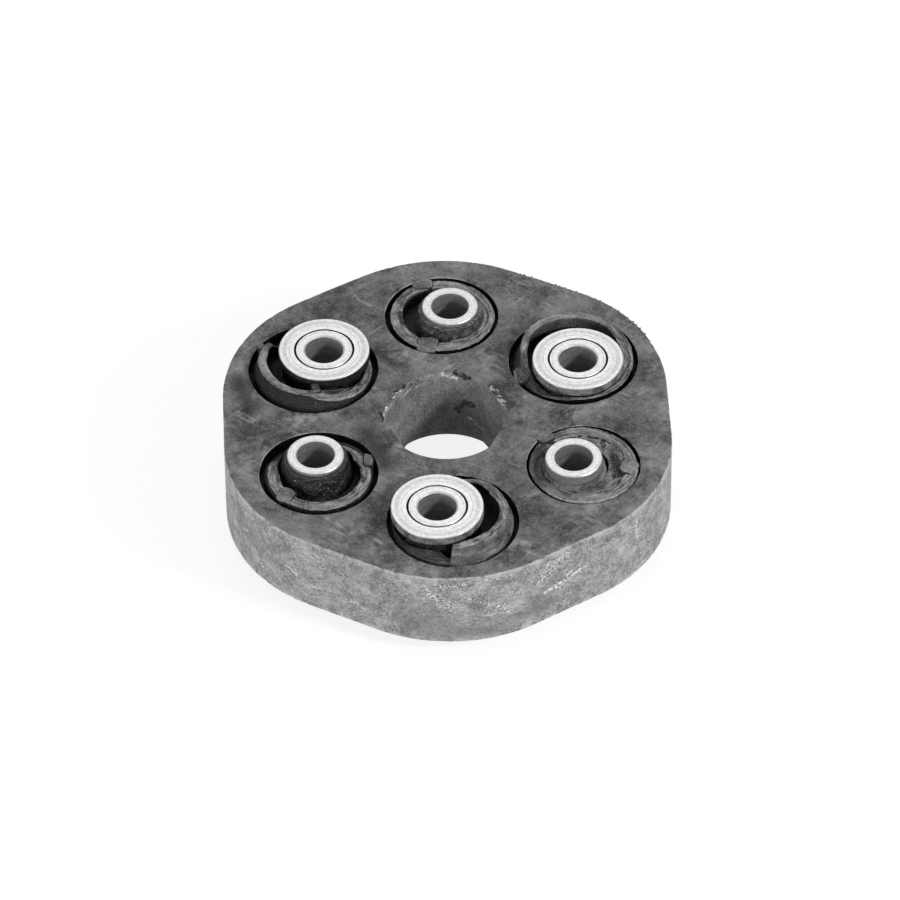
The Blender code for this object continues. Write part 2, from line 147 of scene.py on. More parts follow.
room = bpy.data.worlds.new("white_room")
room.use_nodes = True
tree = room.node_tree
tree.nodes.clear()
white, fill = (add_node(tree, "ShaderNodeBackground", {"Color": linear("#ffffff"),
                                                       "Strength": strength}).outputs[0]
               for strength in (ROOM_SHOWN, ROOM_LIGHT))
either = add_node(tree, "ShaderNodeMixShader", {0: shown_directly(tree), 1: fill, 2: white})
add_node(tree, "ShaderNodeOutputWorld", {"Surface": either.outputs[0]})
bpy.context.scene.world = room


def softbox(name, place, size, power):
    """A square lamp aimed at the object."""
    data = bpy.data.lights.new(name, "AREA")
    data.size = size
    data.energy = power
    lamp = bpy.data.objects.new(name, data)
    lamp.location = place
    lamp.rotation_euler = (EYE_TARGET - Vector(place)).to_track_quat("-Z", "Y").to_euler()
    bpy.context.scene.collection.objects.link(lamp)


softbox("softbox_right", (1.25, -0.7, 0.95), 0.22, 16.0)
softbox("softbox_left", (-1.15, -1.05, 0.33), 0.7, 10.5)
softbox("softbox_back", (0.1, 0.9, 1.3), 0.8, 3.5)

# Rubber disc
# One piece of natural rubber moulded round the sleeves and cords: a hexagon with very round
# corners, a pocket round each end of each sleeve, and a hole in the middle for the centring pin.
# It is demoulded and deflashed by hand, so thin rags of flash stay on some of its edges.
HALF_THICKNESS = 14 * MM
BOLT_CIRCLE_RADIUS = 47.5 * MM
RIM_BEYOND_BOLTS = 24.3 * MM
CORNER_RADIUS = 51 * MM
RIM_ROUND = 0.35 * MM
HOLE_RADIUS = 20 * MM
HOLE_FLAT = 18.4 * MM
HOLE_ROUND = 0.5 * MM
FIRST_SLEEVE = 24.1
PAIR_ANGLE = 57.9
SLEEVE_RADIUS = 9.15 * MM
SEAT_GAP = 0.05 * MM
PLAIN_END = 4.6 * MM
FLANGED_END = 5.2 * MM
POCKET_DEPTH = 5 * MM
POCKET_ROUND = 0.3 * MM
PLAIN_POCKET = (0.9 * MM, 3.2 * MM, 18.77 * MM)
FLANGED_POCKET = (0.9 * MM, 5.0 * MM, 21.03 * MM)
PLAIN_SKIRT = (12.15 * MM, 10.05 * MM, PLAIN_END - 1.2 * MM)
FLANGED_SKIRT = (13.75 * MM, 13.15 * MM, FLANGED_END - 3.1 * MM)
HOLE_FLATS = (30, 150, 202, 334.5)
HOLE_DRAFT = 0.8 * MM
# The slot of the skirt of each form
SKIRT_FINISHES = (2, 3, 2, 2, 2, 4)
# The skirt of the last form stands low in its filled pocket: radius at foot and top, and rise
LOW_FORM = 5
LOW_SKIRT = (10.9 * MM, 10.0 * MM, POCKET_DEPTH + 1.3 * MM)
# The faces' flat fill starts this far from a rim's or a hole's rounded edge
RIM_BORDER = 0.6 * MM
BORDER = 0.5 * MM
# Depth and size of the wobble of the pockets' edges, and of the lumps on the skirts
EDGE_WOBBLE = (0.10 * MM, 3 * MM, 1)
SKIRT_LUMPS = (0.35 * MM, 1.7 * MM, 21)
# The upper pockets that came out a little off: how far towards X and Y, and how much wider, in mm
POCKET_SHIFTS = {1: (0.35, -0.55, -0.2), 3: (0.25, -0.5, 0.3), 5: (0.7, -0.75, -0.5)}
ARC_STEPS = 84
FLAT_STEPS = 36
ROUND_STEPS = 180


def station_turn(station):
    """A sleeve's angle round the disc: every second one is drawn towards the next pair."""
    return math.radians(FIRST_SLEEVE + 120 * (station // 2) + (120 - PAIR_ANGLE) * (station % 2))


def station_place(station):
    """From a sleeve's own frame, +X outward and +Y anticlockwise, to the disc's."""
    angle = station_turn(station)
    return (Matrix.Translation((BOLT_CIRCLE_RADIUS * math.cos(angle),
                                BOLT_CIRCLE_RADIUS * math.sin(angle), 0))
            @ Matrix.Rotation(angle, 4, "Z"))


def flanged_at(station, side):
    return (station % 2 == 0) == (side == 1)


def like(station, side):
    """The upper station whose pocket, skirt and collar an end of a sleeve has the form of."""
    return station if side == 1 else (station - 1) % 6


def pocket(station, side):
    """A pocket's middle in the disc's frame and its radius."""
    outward, ahead, radius = FLANGED_POCKET if flanged_at(station, side) else PLAIN_POCKET
    aside, further, wider = POCKET_SHIFTS.get(station, (0, 0, 0)) if side == 1 else (0, 0, 0)
    middle = station_place(station) @ Vector((outward, ahead, 0))
    return middle + Vector((aside, further, 0)) * MM, radius + wider * MM


def ripple(x, y, z, size, seed=0.0):
    """Smooth noise between about -1 and 1 whose bumps are about the given size apart."""
    return noise.noise(Vector((x / size + seed, y / size - seed, z / size + 0.37 * seed)))


def swelling(x, y, z):
    """How much farther out the rim of the upper face stands at the two far corners, as a share."""
    angle = math.degrees(math.atan2(y, x))
    swell = (0.010 * max(0.0, 1 - ((angle - 46) / 24) ** 2)
             + 0.007 * max(0.0, 1 - ((angle - 134) / 26) ** 2))
    return swell * min(max(z / HALF_THICKNESS, 0.0), 1.0) - 0.0006 * (1 + ripple(x, y, z, 9 * MM))


def drawn(loop, share):
    """A loop with each point's distance from the middle multiplied by its own share."""
    return [(x * share(x, y, z), y * share(x, y, z), z) for x, y, z in loop]


def shaken(loop, depth, size, seed):
    """A loop with each point moved level by up to a depth, in bumps of a size."""
    return [(x + depth * ripple(x, y, z, size, seed),
             y + depth * ripple(x, y, z, size, seed + 1), z) for x, y, z in loop]


def rim_loop(inset, height):
    """The disc's outline, drawn in by an inset, at a height."""
    reach = (BOLT_CIRCLE_RADIUS + RIM_BEYOND_BOLTS - CORNER_RADIUS) / math.cos(math.radians(30))
    radius = CORNER_RADIUS - inset
    arcs = []
    for corner in range(6):
        middle = math.radians(60 * corner + 30)
        arcs.append([(reach * math.cos(middle) + radius * math.cos(turn),
                      reach * math.sin(middle) + radius * math.sin(turn))
                     for turn in (middle + math.radians(60) * (step / ARC_STEPS - 0.5)
                                  for step in range(ARC_STEPS + 1))])
    points = []
    for arc, following in zip(arcs, arcs[1:] + arcs[:1]):
        points += arc
        (ax, ay), (bx, by) = arc[-1], following[0]
        points += [(ax + (bx - ax) * step / FLAT_STEPS, ay + (by - ay) * step / FLAT_STEPS)
                   for step in range(1, FLAT_STEPS)]
    return drawn([(x, y, height) for x, y in points], lambda x, y, z: 1 + swelling(x, y, z))


def hole_loop(widened, height):
    """The centre hole's outline: a circle with a flat towards each of four corners."""
    points = []
    for step in range(ROUND_STEPS):
        angle = 2 * math.pi * step / ROUND_STEPS
        radius = HOLE_RADIUS
        for facing in HOLE_FLATS:
            across = math.cos(angle - math.radians(facing))
            if across > 0:
                radius = min(radius, HOLE_FLAT / across)
        # The lower half is drafted wider towards the far side
        radius += (widened + HOLE_DRAFT * max(0.0, math.sin(angle))
                   * max(0.0, -height / HALF_THICKNESS))
        points.append((radius * math.cos(angle), radius * math.sin(angle), height))
    return points


def circle_loop(centre, radius, height):
    return [(centre.x + radius * math.cos(2 * math.pi * step / ROUND_STEPS),
             centre.y + radius * math.sin(2 * math.pi * step / ROUND_STEPS), height)
            for step in range(ROUND_STEPS)]


def lay(bm, points):
    return [bm.verts.new(point) for point in points]


def skin(bm, loops, slot=0):
    """Quads from loop to loop, each with as many points as the next; gives the last loop."""
    for near, far in zip(loops, loops[1:]):
        for i in range(len(near)):
            j = (i + 1) % len(near)
            face = bm.faces.new((near[i], near[j], far[j], far[i]))
            face.material_index = slot
            face.smooth = True
    return loops[-1]


def corner_arc(radius, steps):
    """The inset and drop of each point along a rounded edge, from the face to the wall."""
    return [(radius * (1 - math.sin(math.pi / 2 * step / steps)),
             radius * (1 - math.cos(math.pi / 2 * step / steps))) for step in range(steps + 1)]


def finished(bm, name, materials, sharp=50):
    """A piece that rides on the disc's body, from closed shells with their faces turned out."""
    bmesh.ops.recalc_face_normals(bm, faces=bm.faces)
    mesh = bpy.data.meshes.new(name)
    bm.to_mesh(mesh)
    bm.free()
    for material in materials:
        mesh.materials.append(material)
    mesh.set_sharp_from_angle(angle=math.radians(sharp))
    piece = bpy.data.objects.new(name, mesh)
    bpy.context.scene.collection.objects.link(piece)
    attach(piece, "root")
    return piece


def half_disc(bm, side):
    """One face of the disc; gives the loops where its rim, hole and skirts meet the other half."""
    face = side * HALF_THICKNESS
    rim = [rim_loop(0, side * part * (HALF_THICKNESS - RIM_ROUND)) for part in
           (0, 0.12, 0.24, 0.36, 0.48, 0.6, 0.72, 0.84, 0.95)]
    # Nicks and rags of the moulding's parting edge, up to 0.3 mm deep and 1 to 2 mm long
    rim += [drawn(rim_loop(inset, face - side * drop),
                  lambda x, y, z: 1 - 0.004 * max(0.0, ripple(x, y, 0, 1.6 * MM, 5) - 0.1))
            for inset, drop in reversed(corner_arc(RIM_ROUND, 4))]
    rim += [rim_loop(RIM_ROUND + RIM_BORDER, face)]
    rim = [lay(bm, loop) for loop in rim]
    borders = [skin(bm, rim)]
    hole = [drawn(hole_loop(0, side * part * (HALF_THICKNESS - HOLE_ROUND)),
                  lambda x, y, z: 1 + 0.006 * ripple(x, y, z, 7 * MM, 3))
            for part in (0, 0.2, 0.4, 0.6, 0.8, 0.95)]
    hole += [hole_loop(inset, face - side * drop)
             for inset, drop in reversed(corner_arc(HOLE_ROUND, 3))]
    hole += [hole_loop(HOLE_ROUND + BORDER, face)]
    hole = [lay(bm, loop) for loop in hole]
    skin(bm, hole[:-1], 5)
    borders.append(skin(bm, hole[-2:]))
    skirt_ends = []
    for station in range(6):
        centre, radius = pocket(station, side)
        foot, top, top_height = FLANGED_SKIRT if flanged_at(station, side) else PLAIN_SKIRT
        axis = station_place(station).to_translation()
        floor = face - side * POCKET_DEPTH
        edge = [circle_loop(centre, radius + POCKET_ROUND + BORDER, face)]
        edge += [circle_loop(centre, radius + inset, face - side * drop)
                 for inset, drop in corner_arc(POCKET_ROUND, 3)]
        edge = [lay(bm, shaken(loop, *EDGE_WOBBLE)) for loop in edge]
        borders.append(edge[0])
        skin(bm, edge)
        well = [edge[-1]]
        for share in (0.4, 0.7, 0.94):
            well.append(lay(bm, circle_loop(centre, radius, face - side * share * POCKET_DEPTH)))
        well.append(lay(bm, circle_loop(centre, radius - 0.3 * MM, floor)))
        well.append(lay(bm, circle_loop(axis, foot + 0.5 * MM, floor)))
        # The pocket's wall and floor take slot 1, black rubber that also holds painted shade
        skin(bm, well, 1)
        skirt = [well[-1], lay(bm, circle_loop(axis, foot, floor + side * 0.4 * MM))]
        rise = POCKET_DEPTH + top_height
        if like(station, side) == LOW_FORM:
            foot, top, rise = LOW_SKIRT
        for share in (0.15, 0.25, 0.35, 0.45, 0.55, 0.65, 0.75, 0.85, 0.95):
            level = circle_loop(axis, foot + (top - foot) * share, floor + side * rise * share)
            skirt.append(lay(bm, shaken(level, *SKIRT_LUMPS)))
        for reach in (top - 0.3 * MM, SLEEVE_RADIUS + SEAT_GAP):
            skirt.append(lay(bm, circle_loop(axis, reach, floor + side * rise)))
        skin(bm, skirt, SKIRT_FINISHES[like(station, side)])
        skirt_ends.append(skirt[-1])
    flats = [bm.edges.get((loop[i], loop[(i + 1) % len(loop)]))
             for loop in borders for i in range(len(loop))]
    for made in bmesh.ops.triangle_fill(bm, use_beauty=True, edges=flats)["geom"]:
        if isinstance(made, bmesh.types.BMFace):
            made.smooth = True
    return rim[0], hole[0], skirt_ends


disc_bm = bmesh.new()
upper_rim, upper_hole, upper_skirts = half_disc(disc_bm, 1)
lower_rim, lower_hole, lower_skirts = half_disc(disc_bm, -1)
for loops in zip(upper_skirts, lower_skirts):
    skin(disc_bm, loops, 2)
bmesh.ops.remove_doubles(disc_bm, verts=upper_rim + lower_rim + upper_hole + lower_hole, dist=1e-6)


def marked(tree, at, marks, core=0.3, rim=0.62):
    """A mask of marks on a surface, each from one point to another and of a width, all in mm.

    It is full within core widths of a mark's middle line and fades out at rim widths.
    """
    shown = 0.0
    for start, end, width in marks:
        start, way = Vector(start) * MM, (Vector(end) - Vector(start)) * MM
        along = way.normalized()
        away = add_node(tree, "ShaderNodeVectorMath", {0: at, 1: start},
                        operation="SUBTRACT").outputs[0]
        run = add_node(tree, "ShaderNodeVectorMath", {0: away, 1: along},
                       operation="DOT_PRODUCT").outputs["Value"]
        held = add_node(tree, "ShaderNodeClamp", {"Value": run, "Max": way.length}).outputs[0]
        nearest = add_node(tree, "ShaderNodeVectorMath", {0: along, "Scale": held},
                           operation="SCALE").outputs[0]
        off = add_node(tree, "ShaderNodeVectorMath", {0: away, 1: nearest},
                       operation="DISTANCE").outputs["Value"]
        near = add_node(tree, "ShaderNodeMapRange", {"Value": off, "From Min": rim * width * MM,
                                                     "From Max": core * width * MM}).outputs[0]
        shown = add_node(tree, "ShaderNodeMath", {0: near, 1: shown},
                         operation="MAXIMUM").outputs[0]
    return shown


def off_axis(tree, at):
    """How far each point is from the Z axis."""
    parts = add_node(tree, "ShaderNodeSeparateXYZ", {0: at}).outputs
    level_at = add_node(tree, "ShaderNodeCombineXYZ", {0: parts[0], 1: parts[1]}).outputs[0]
    return add_node(tree, "ShaderNodeVectorMath", {0: level_at},
                    operation="LENGTH").outputs["Value"]


def strokes(tree, at, lean, size, seed=0.0, detail=2.0):
    """Noise drawn out into strokes of a size, in metres, that lean from the X axis."""
    laid = add_node(tree, "ShaderNodeMapping", {"Vector": at, "Location": (seed, seed, 0),
                                                "Rotation": (0, 0, lean), "Scale": size},
                    vector_type="TEXTURE").outputs[0]
    return add_node(tree, "ShaderNodeTexNoise", {"Vector": laid, "Scale": 1.0,
                                                 "Detail": detail}).outputs[0]


def moulded_rubber(name, level, wall, worn_edge_and_highlight, roughness, wear=0.0, relief=0.3, gloss=0.2, talc=0.0,
                   pale=(), faint=(), flecked=(), dull=(), soot_and_shade=(), dark=(), streaks=0.0):
    """Rubber with two greys for its level faces, two for its walls and one for its rounded edges,
    partly wear and partly a painted highlight.

    Wear, talc and streaks, from 0 to 1, say how much it is stained and scratched, dusted, and
    rubbed in rings round its origin; relief is its bumps' depth in mm. The rest are lists of
    marks: pale and faint scars, flecked chips, broad dull places, dark places of soot and of
    painted shade, and dark tears, one of which is a gap's painted shade.
    """
    made, tree = blank_material(name)
    at = add_node(tree, "ShaderNodeTexCoord").outputs["Object"]
    facing = add_node(tree, "ShaderNodeNewGeometry").outputs["True Normal"]
    lift = add_node(tree, "ShaderNodeSeparateXYZ", {0: facing}).outputs["Z"]
    flat = add_node(tree, "ShaderNodeMath", {0: lift}, operation="ABSOLUTE").outputs[0]
    # Clouds of bloom 14 mm across, a mottle of 4 mm, and a grain drawn at 0.7 mm so that it shows
    cloud = add_node(tree, "ShaderNodeTexNoise",
                     {"Vector": at, "Scale": 70.0, "Detail": 3.0}).outputs[0]
    mottle = add_node(tree, "ShaderNodeTexNoise", {"Vector": at, "Scale": 260.0, "Detail": 4.0,
                                                   "Roughness": 0.65}).outputs[0]
    grain = add_node(tree, "ShaderNodeTexNoise", {"Vector": at, "Scale": 1400.0, "Detail": 2.0,
                                                  "Roughness": 0.6}).outputs[0]
    shades = []
    for shares, low, high, greys in (((0.8, 0.7, 0.55), 0.84, 1.21, level),
                                     ((0.3, 0.6, 1.1), 0.81, 1.19, wall)):
        mixed = 0.0
        for part, share in zip((cloud, mottle, grain), shares):
            mixed = add_node(tree, "ShaderNodeMath", {0: part, 1: share, 2: mixed},
                             operation="MULTIPLY_ADD").outputs[0]
        mixed = add_node(tree, "ShaderNodeMapRange", {"Value": mixed, "From Min": low,
                                                      "From Max": high}).outputs[0]
        shades.append(add_node(tree, "ShaderNodeValToRGB", {0: mixed},
                               tuple(zip((0.0, 1.0), greys))).outputs[0])
    upright = add_node(tree, "ShaderNodeValToRGB", {0: flat}, ((0.25, 1.0), (0.6, 0.0))).outputs[0]
    lying = add_node(tree, "ShaderNodeMath", {0: 1.0, 1: upright}, operation="SUBTRACT").outputs[0]
    body = add_node(tree, "ShaderNodeMix", {0: upright, 6: shades[0], 7: shades[1]},
                    data_type="RGBA").outputs[2]
    # A pale band over rounded edges, picked by how they face: partly wear, partly a painted
    # highlight
    edge = add_node(tree, "ShaderNodeValToRGB", {0: flat},
                    ((0.12, 0.0), (0.35, 1.0), (0.9, 1.0), (0.985, 0.0))).outputs[0]
    broken = add_node(tree, "ShaderNodeValToRGB", {0: mottle}, ((0.4, 0.0), (0.54, 1.0))).outputs[0]
    # Each layer is a colour, how strongly it covers, and the masks that say where
    layers = [(worn_edge_and_highlight, 0.6, edge, broken)]
    # What is drawn on the rubber follows a position shaken by up to 1.5 mm, so nothing is straight
    shake = add_node(tree, "ShaderNodeTexNoise", {"Vector": at, "Scale": 420.0,
                                                  "Detail": 3.0}).outputs["Color"]
    shake = add_node(tree, "ShaderNodeVectorMath", {0: shake, 1: (0.5, 0.5, 0.5)},
                     operation="SUBTRACT").outputs[0]
    loose = add_node(tree, "ShaderNodeVectorMath", {0: shake, 1: (0.003, 0.003, 0.003), 2: at},
                     operation="MULTIPLY_ADD").outputs[0]
    near = add_node(tree, "ShaderNodeVectorMath", {0: shake, 1: (0.0012, 0.0012, 0.0012), 2: at},
                    operation="MULTIPLY_ADD").outputs[0]
    relieved = add_node(tree, "ShaderNodeMath", {0: mottle, 1: 1.5, 2: grain},
                        operation="MULTIPLY_ADD").outputs[0]
    if streaks:
        # Rings rubbed by the bolts' heads, about 0.8 mm apart and 6 mm long
        x, y, z = add_node(tree, "ShaderNodeSeparateXYZ", {0: near}).outputs
        around = add_node(tree, "ShaderNodeMath", {0: y, 1: x}, operation="ARCTAN2").outputs[0]
        away = add_node(tree, "ShaderNodeMath", {0: off_axis(tree, near), 1: 1000.0},
                        operation="MULTIPLY").outputs[0]
        rolled = add_node(tree, "ShaderNodeCombineXYZ", {0: around, 1: away}).outputs[0]
        laid = add_node(tree, "ShaderNodeMapping",
                        {"Vector": rolled, "Scale": (2.6, 1.3, 1)}).outputs[0]
        rub = add_node(tree, "ShaderNodeTexNoise", {"Vector": laid, "Scale": 1.0, "Detail": 4.0,
                                                    "Roughness": 0.6}).outputs[0]
        rubbed_pale = add_node(tree, "ShaderNodeValToRGB", {0: rub},
                               ((0.5, 0.0), (0.66, 1.0))).outputs[0]
        rubbed_dark = add_node(tree, "ShaderNodeValToRGB", {0: rub},
                               ((0.34, 1.0), (0.48, 0.0))).outputs[0]
        layers += [("#c4c4c4", 0.7 * streaks, rubbed_pale, lying),
                   ("#242424", 0.8 * streaks, rubbed_dark, lying)]
    if wear:
        patch = add_node(tree, "ShaderNodeTexNoise", {"Vector": at, "Scale": 120.0, "Detail": 6.0,
                                                      "Roughness": 0.75}).outputs[0]
        chalk = add_node(tree, "ShaderNodeValToRGB", {0: patch},
                         ((0.55, 0.0), (0.7, 1.0))).outputs[0]
        grime = add_node(tree, "ShaderNodeValToRGB", {0: patch},
                         ((0.3, 1.0), (0.43, 0.0))).outputs[0]
        # On walls the chalk is paler and the grime lighter than on faces: partly painted light on
        # the sides
        layers += [("#a4a4a4", 0.6 * wear, chalk, lying), ("#dcdcdc", 0.45 * wear, chalk, upright),
                   ("#333333", 0.6 * wear, grime, lying), ("#606060", 0.4 * wear, grime, upright)]
        # The walls within 2 mm of a face, and the faces from 66 mm outward, are rubbed paler
        height = add_node(tree, "ShaderNodeSeparateXYZ", {0: at}).outputs["Z"]
        height = add_node(tree, "ShaderNodeMath", {0: height}, operation="ABSOLUTE").outputs[0]
        rubbed = add_node(tree, "ShaderNodeMapRange", {"Value": height, "From Min": 0.0118,
                                                       "From Max": 0.0136}).outputs[0]
        outer = add_node(tree, "ShaderNodeMapRange", {"Value": off_axis(tree, loose),
                                                      "From Min": 0.066,
                                                      "From Max": 0.073}).outputs[0]
        patchy = add_node(tree, "ShaderNodeValToRGB", {0: patch},
                          ((0.4, 0.0), (0.65, 1.0))).outputs[0]
        layers += [("#cfcfcf", 0.6 * wear, rubbed, upright, broken),
                   ("#a0a0a0", 0.4 * wear, outer, patchy, lying)]
        # Smears on the faces, 10 mm long and 0.5 to 1.6 mm wide, in clusters and several directions
        cluster = add_node(tree, "ShaderNodeTexNoise", {"Vector": at, "Scale": 60.0}).outputs[0]
        cluster = add_node(tree, "ShaderNodeValToRGB", {0: cluster},
                           ((0.46, 0.0), (0.6, 1.0))).outputs[0]
        for lean, seed, breadth, strength in ((0.7, 0.0, 0.0016, 0.4), (-0.6, 7.0, 0.0011, 0.4),
                                              (-0.8, 13.0, 0.0005, 0.3)):
            line = strokes(tree, near, lean, (0.010, breadth, 0.012), seed)
            cut = add_node(tree, "ShaderNodeValToRGB", {0: line},
                           ((0.58, 0.0), (0.72, 1.0))).outputs[0]
            layers.append(("#b0b0b0", strength * wear, cut, cluster, lying))
        # The rim is scratched along its run, in a system of the way round and the height
        x, y, z = add_node(tree, "ShaderNodeSeparateXYZ", {0: near}).outputs
        behind = add_node(tree, "ShaderNodeMath", {0: y, 1: -1.0}, operation="MULTIPLY").outputs[0]
        round_way = add_node(tree, "ShaderNodeMath", {0: x, 1: behind},
                             operation="ARCTAN2").outputs[0]
        round_way = add_node(tree, "ShaderNodeMath", {0: round_way, 1: 0.072},
                             operation="MULTIPLY").outputs[0]
        unrolled = add_node(tree, "ShaderNodeCombineXYZ", {0: round_way, 1: z}).outputs[0]
        for lean, reach in ((0.25, 0.011), (-0.35, 0.007)):
            line = strokes(tree, unrolled, lean, (reach, 0.0008, 1), detail=1.0)
            cut = add_node(tree, "ShaderNodeValToRGB", {0: line},
                           ((0.6, 0.0), (0.67, 1.0))).outputs[0]
            layers.append(("#e6e6e6", 0.4 * wear, cut, cluster, upright))
        # Crinkles of the moulding skin, 1.6 mm apart
        crease = add_node(tree, "ShaderNodeTexVoronoi", {"Vector": loose, "Scale": 620.0},
                          feature="DISTANCE_TO_EDGE").outputs["Distance"]
        crease = add_node(tree, "ShaderNodeValToRGB", {0: crease},
                          ((0.0, 1.0), (0.1, 0.0))).outputs[0]
        kept = add_node(tree, "ShaderNodeValToRGB", {0: mottle},
                        ((0.45, 0.0), (0.6, 1.0))).outputs[0]
        layers.append(("#e4e4e4", 0.5 * wear, crease, kept, upright))
        relieved = add_node(tree, "ShaderNodeMath", {0: crease, 1: 0.5, 2: relieved},
                            operation="MULTIPLY_ADD").outputs[0]
    if wear or talc:
        # White grains of dusting talc, drawn 0.2 mm wide, in clusters
        dust = add_node(tree, "ShaderNodeTexVoronoi", {"Vector": loose, "Scale": 900.0}).outputs[0]
        dust = add_node(tree, "ShaderNodeValToRGB", {0: dust},
                        ((0.08, 1.0), (0.17, 0.0))).outputs[0]
        gather = add_node(tree, "ShaderNodeTexNoise",
                          {"Vector": at, "Scale": 100.0, "Detail": 3.0}).outputs[0]
        gather = add_node(tree, "ShaderNodeValToRGB", {0: gather},
                          ((0.58, 0.0), (0.7, 1.0))).outputs[0]
        layers.append(("#f0f0f0", max(0.8 * wear, talc), dust, gather))
    # Dull places, and dark places: soot on the disc's faces and painted shade on a collar's low
    # part
    for colour, strength, marks in (("#707070", 0.5, dull), ("#202020", 0.75, soot_and_shade)):
        if marks:
            layers.append((colour, strength, marked(tree, loose, marks, 0.1, 0.75)))
    if flecked:
        # Places that were chipped: white and black flecks, 0.7 mm wide, thickest in the middle
        place = marked(tree, loose, flecked, 0.0, 0.8)
        chips = add_node(tree, "ShaderNodeMath", {0: place, 1: 0.2, 2: grain},
                         operation="MULTIPLY_ADD").outputs[0]
        chips = add_node(tree, "ShaderNodeValToRGB", {0: chips},
                         ((0.66, 0.0), (0.76, 1.0))).outputs[0]
        nicks = add_node(tree, "ShaderNodeMath", {0: place, 1: -0.12, 2: grain},
                         operation="MULTIPLY_ADD").outputs[0]
        nicks = add_node(tree, "ShaderNodeValToRGB", {0: nicks},
                         ((0.25, 1.0), (0.32, 0.0))).outputs[0]
        layers += [("#f4f4f4", 0.85, place, chips), ("#303030", 0.8, place, nicks)]
    if faint:
        layers.append(("#b4b4b4", 0.5, marked(tree, near, faint, 0.1, 0.9), broken))
    if pale:
        spotted = add_node(tree, "ShaderNodeValToRGB", {0: grain},
                           ((0.38, 0.1), (0.52, 1.0))).outputs[0]
        layers.append(("#f6f6f6", 0.9, marked(tree, loose, pale), spotted))
    if dark:
        spotted = add_node(tree, "ShaderNodeValToRGB", {0: grain},
                           ((0.4, 0.55), (0.52, 1.0))).outputs[0]
        layers.append(("#060606", 0.97, marked(tree, loose, dark), spotted))
    for colour, strength, *masks in layers:
        shown = strength
        for mask in masks:
            shown = add_node(tree, "ShaderNodeMath", {0: mask, 1: shown},
                             operation="MULTIPLY").outputs[0]
        body = add_node(tree, "ShaderNodeMix", {0: shown, 6: body, 7: linear(colour)},
                        data_type="RGBA").outputs[2]
    bump = add_node(tree, "ShaderNodeBump", {"Strength": 0.6, "Distance": relief * MM,
                                             "Height": relieved}).outputs[0]
    shader = add_node(tree, "ShaderNodeBsdfPrincipled", {"Base Color": body, "Roughness": roughness,
                                                         "Specular IOR Level": gloss,
                                                         "Normal": bump})
    add_node(tree, "ShaderNodeOutputMaterial", {"Surface": shader.outputs[0]})
    return made


def on_face(*marks):
    """Marks that lie on the upper face, each given as X, Y, X, Y and width."""
    return tuple(((x, y, 14.0), (to_x, to_y, 14.0), width) for x, y, to_x, to_y, width in marks)


# Scars that this disc got in handling: rubbed lines, pale where the bloom is gone
PALE_SCARS = (
    ((28.2, -66.5, -1.6), (33.1, -63.7, -1.5), 1.3),
    ((33.1, -63.7, -1.5), (41.3, -58.9, 2.3), 1.2), ((35, -62.6, 1), (39.5, -60, 4), 0.8),
    ((25.6, -68.1, 3.2), (29.8, -65.7, 10.8), 0.7), ((-69.4, -27.5, -3.7), (-65, -37.4, 1.6), 0.6),
    ((-53.6, -51.1, -0.8), (-49.9, -53.9, -2.6), 0.8),
    ((-33.4, -63.6, -5), (-28.4, -66.5, -6.4), 0.9),
    ((-60.9, -43.5, -7.4), (-60.5, -44, -7.8), 1.1), ((58.5, -46.5, 9), (58.6, -46.4, 1), 0.6))
FAINT_SCARS = on_face(
    (-68.2, 6, -61.9, 1, 1), (-67, 3.6, -62.4, -0.2, 0.8), (-27.6, 58.9, -22.6, 53.7, 1.2),
    (-41.3, -44.1, -35.4, -49.9, 1), (-28.9, -52.1, -22.2, -58.3, 1), (28.1, 10.7, 20.5, 1.6, 1.4),
    (-60, 14, -52, 8, 3.5), (-34, 10, -24, 14, 3), (-50, 2, -36, 3, 4), (40, -2, 50, 4, 4),
    (-14, 30, 0, 33, 5), (44, -45, 52, -38, 3), (8, -62, 22, -60, 3))
# Chipped places
FLECKED_PLACES = (
    ((-9.5, -74, 8.7), (-1.5, -75, 0.6), 3.6), ((-5, -74.9, 10.5), (2.6, -74.8, 10.9), 2.6),
    ((9.6, -74.1, 12.5), (17.5, -71.8, 11.6), 1.6), ((12.7, -73.3, 0.1), (16.9, -72.1, -4.4), 3),
    ((27, -67.3, 4.5), (35.3, -62.6, 11), 5), ((30, -65.4, -1.5), (38, -60.9, 1), 2.6),
    ((4, -74.9, 5), (12, -73.4, -0.5), 1.6), ((-66, -35, 9), (-58, -46, 8), 3))
# Broad duller places on the rim
DULL_PLACES = (
    ((-13, -74, -6), (-3, -75, -8), 14), ((1, -75, -9), (14, -72.8, -10), 9),
    ((18, -71.5, -7), (27, -67, -6), 7), ((-66, -33, 5), (-62, -40, 0), 7))
# Places on the faces that stay dark, because hands and bolts don't reach them
SOOTY_PLACES = on_face(
    (-20.5, -22, -26, -6, 9), (-66.5, 20, -63.5, 6, 7), (22, 27.5, 22.5, 33, 3.5),
    (-62.5, 26, -60, 12, 4), (-53, 3.6, -35, 3.4, 5))
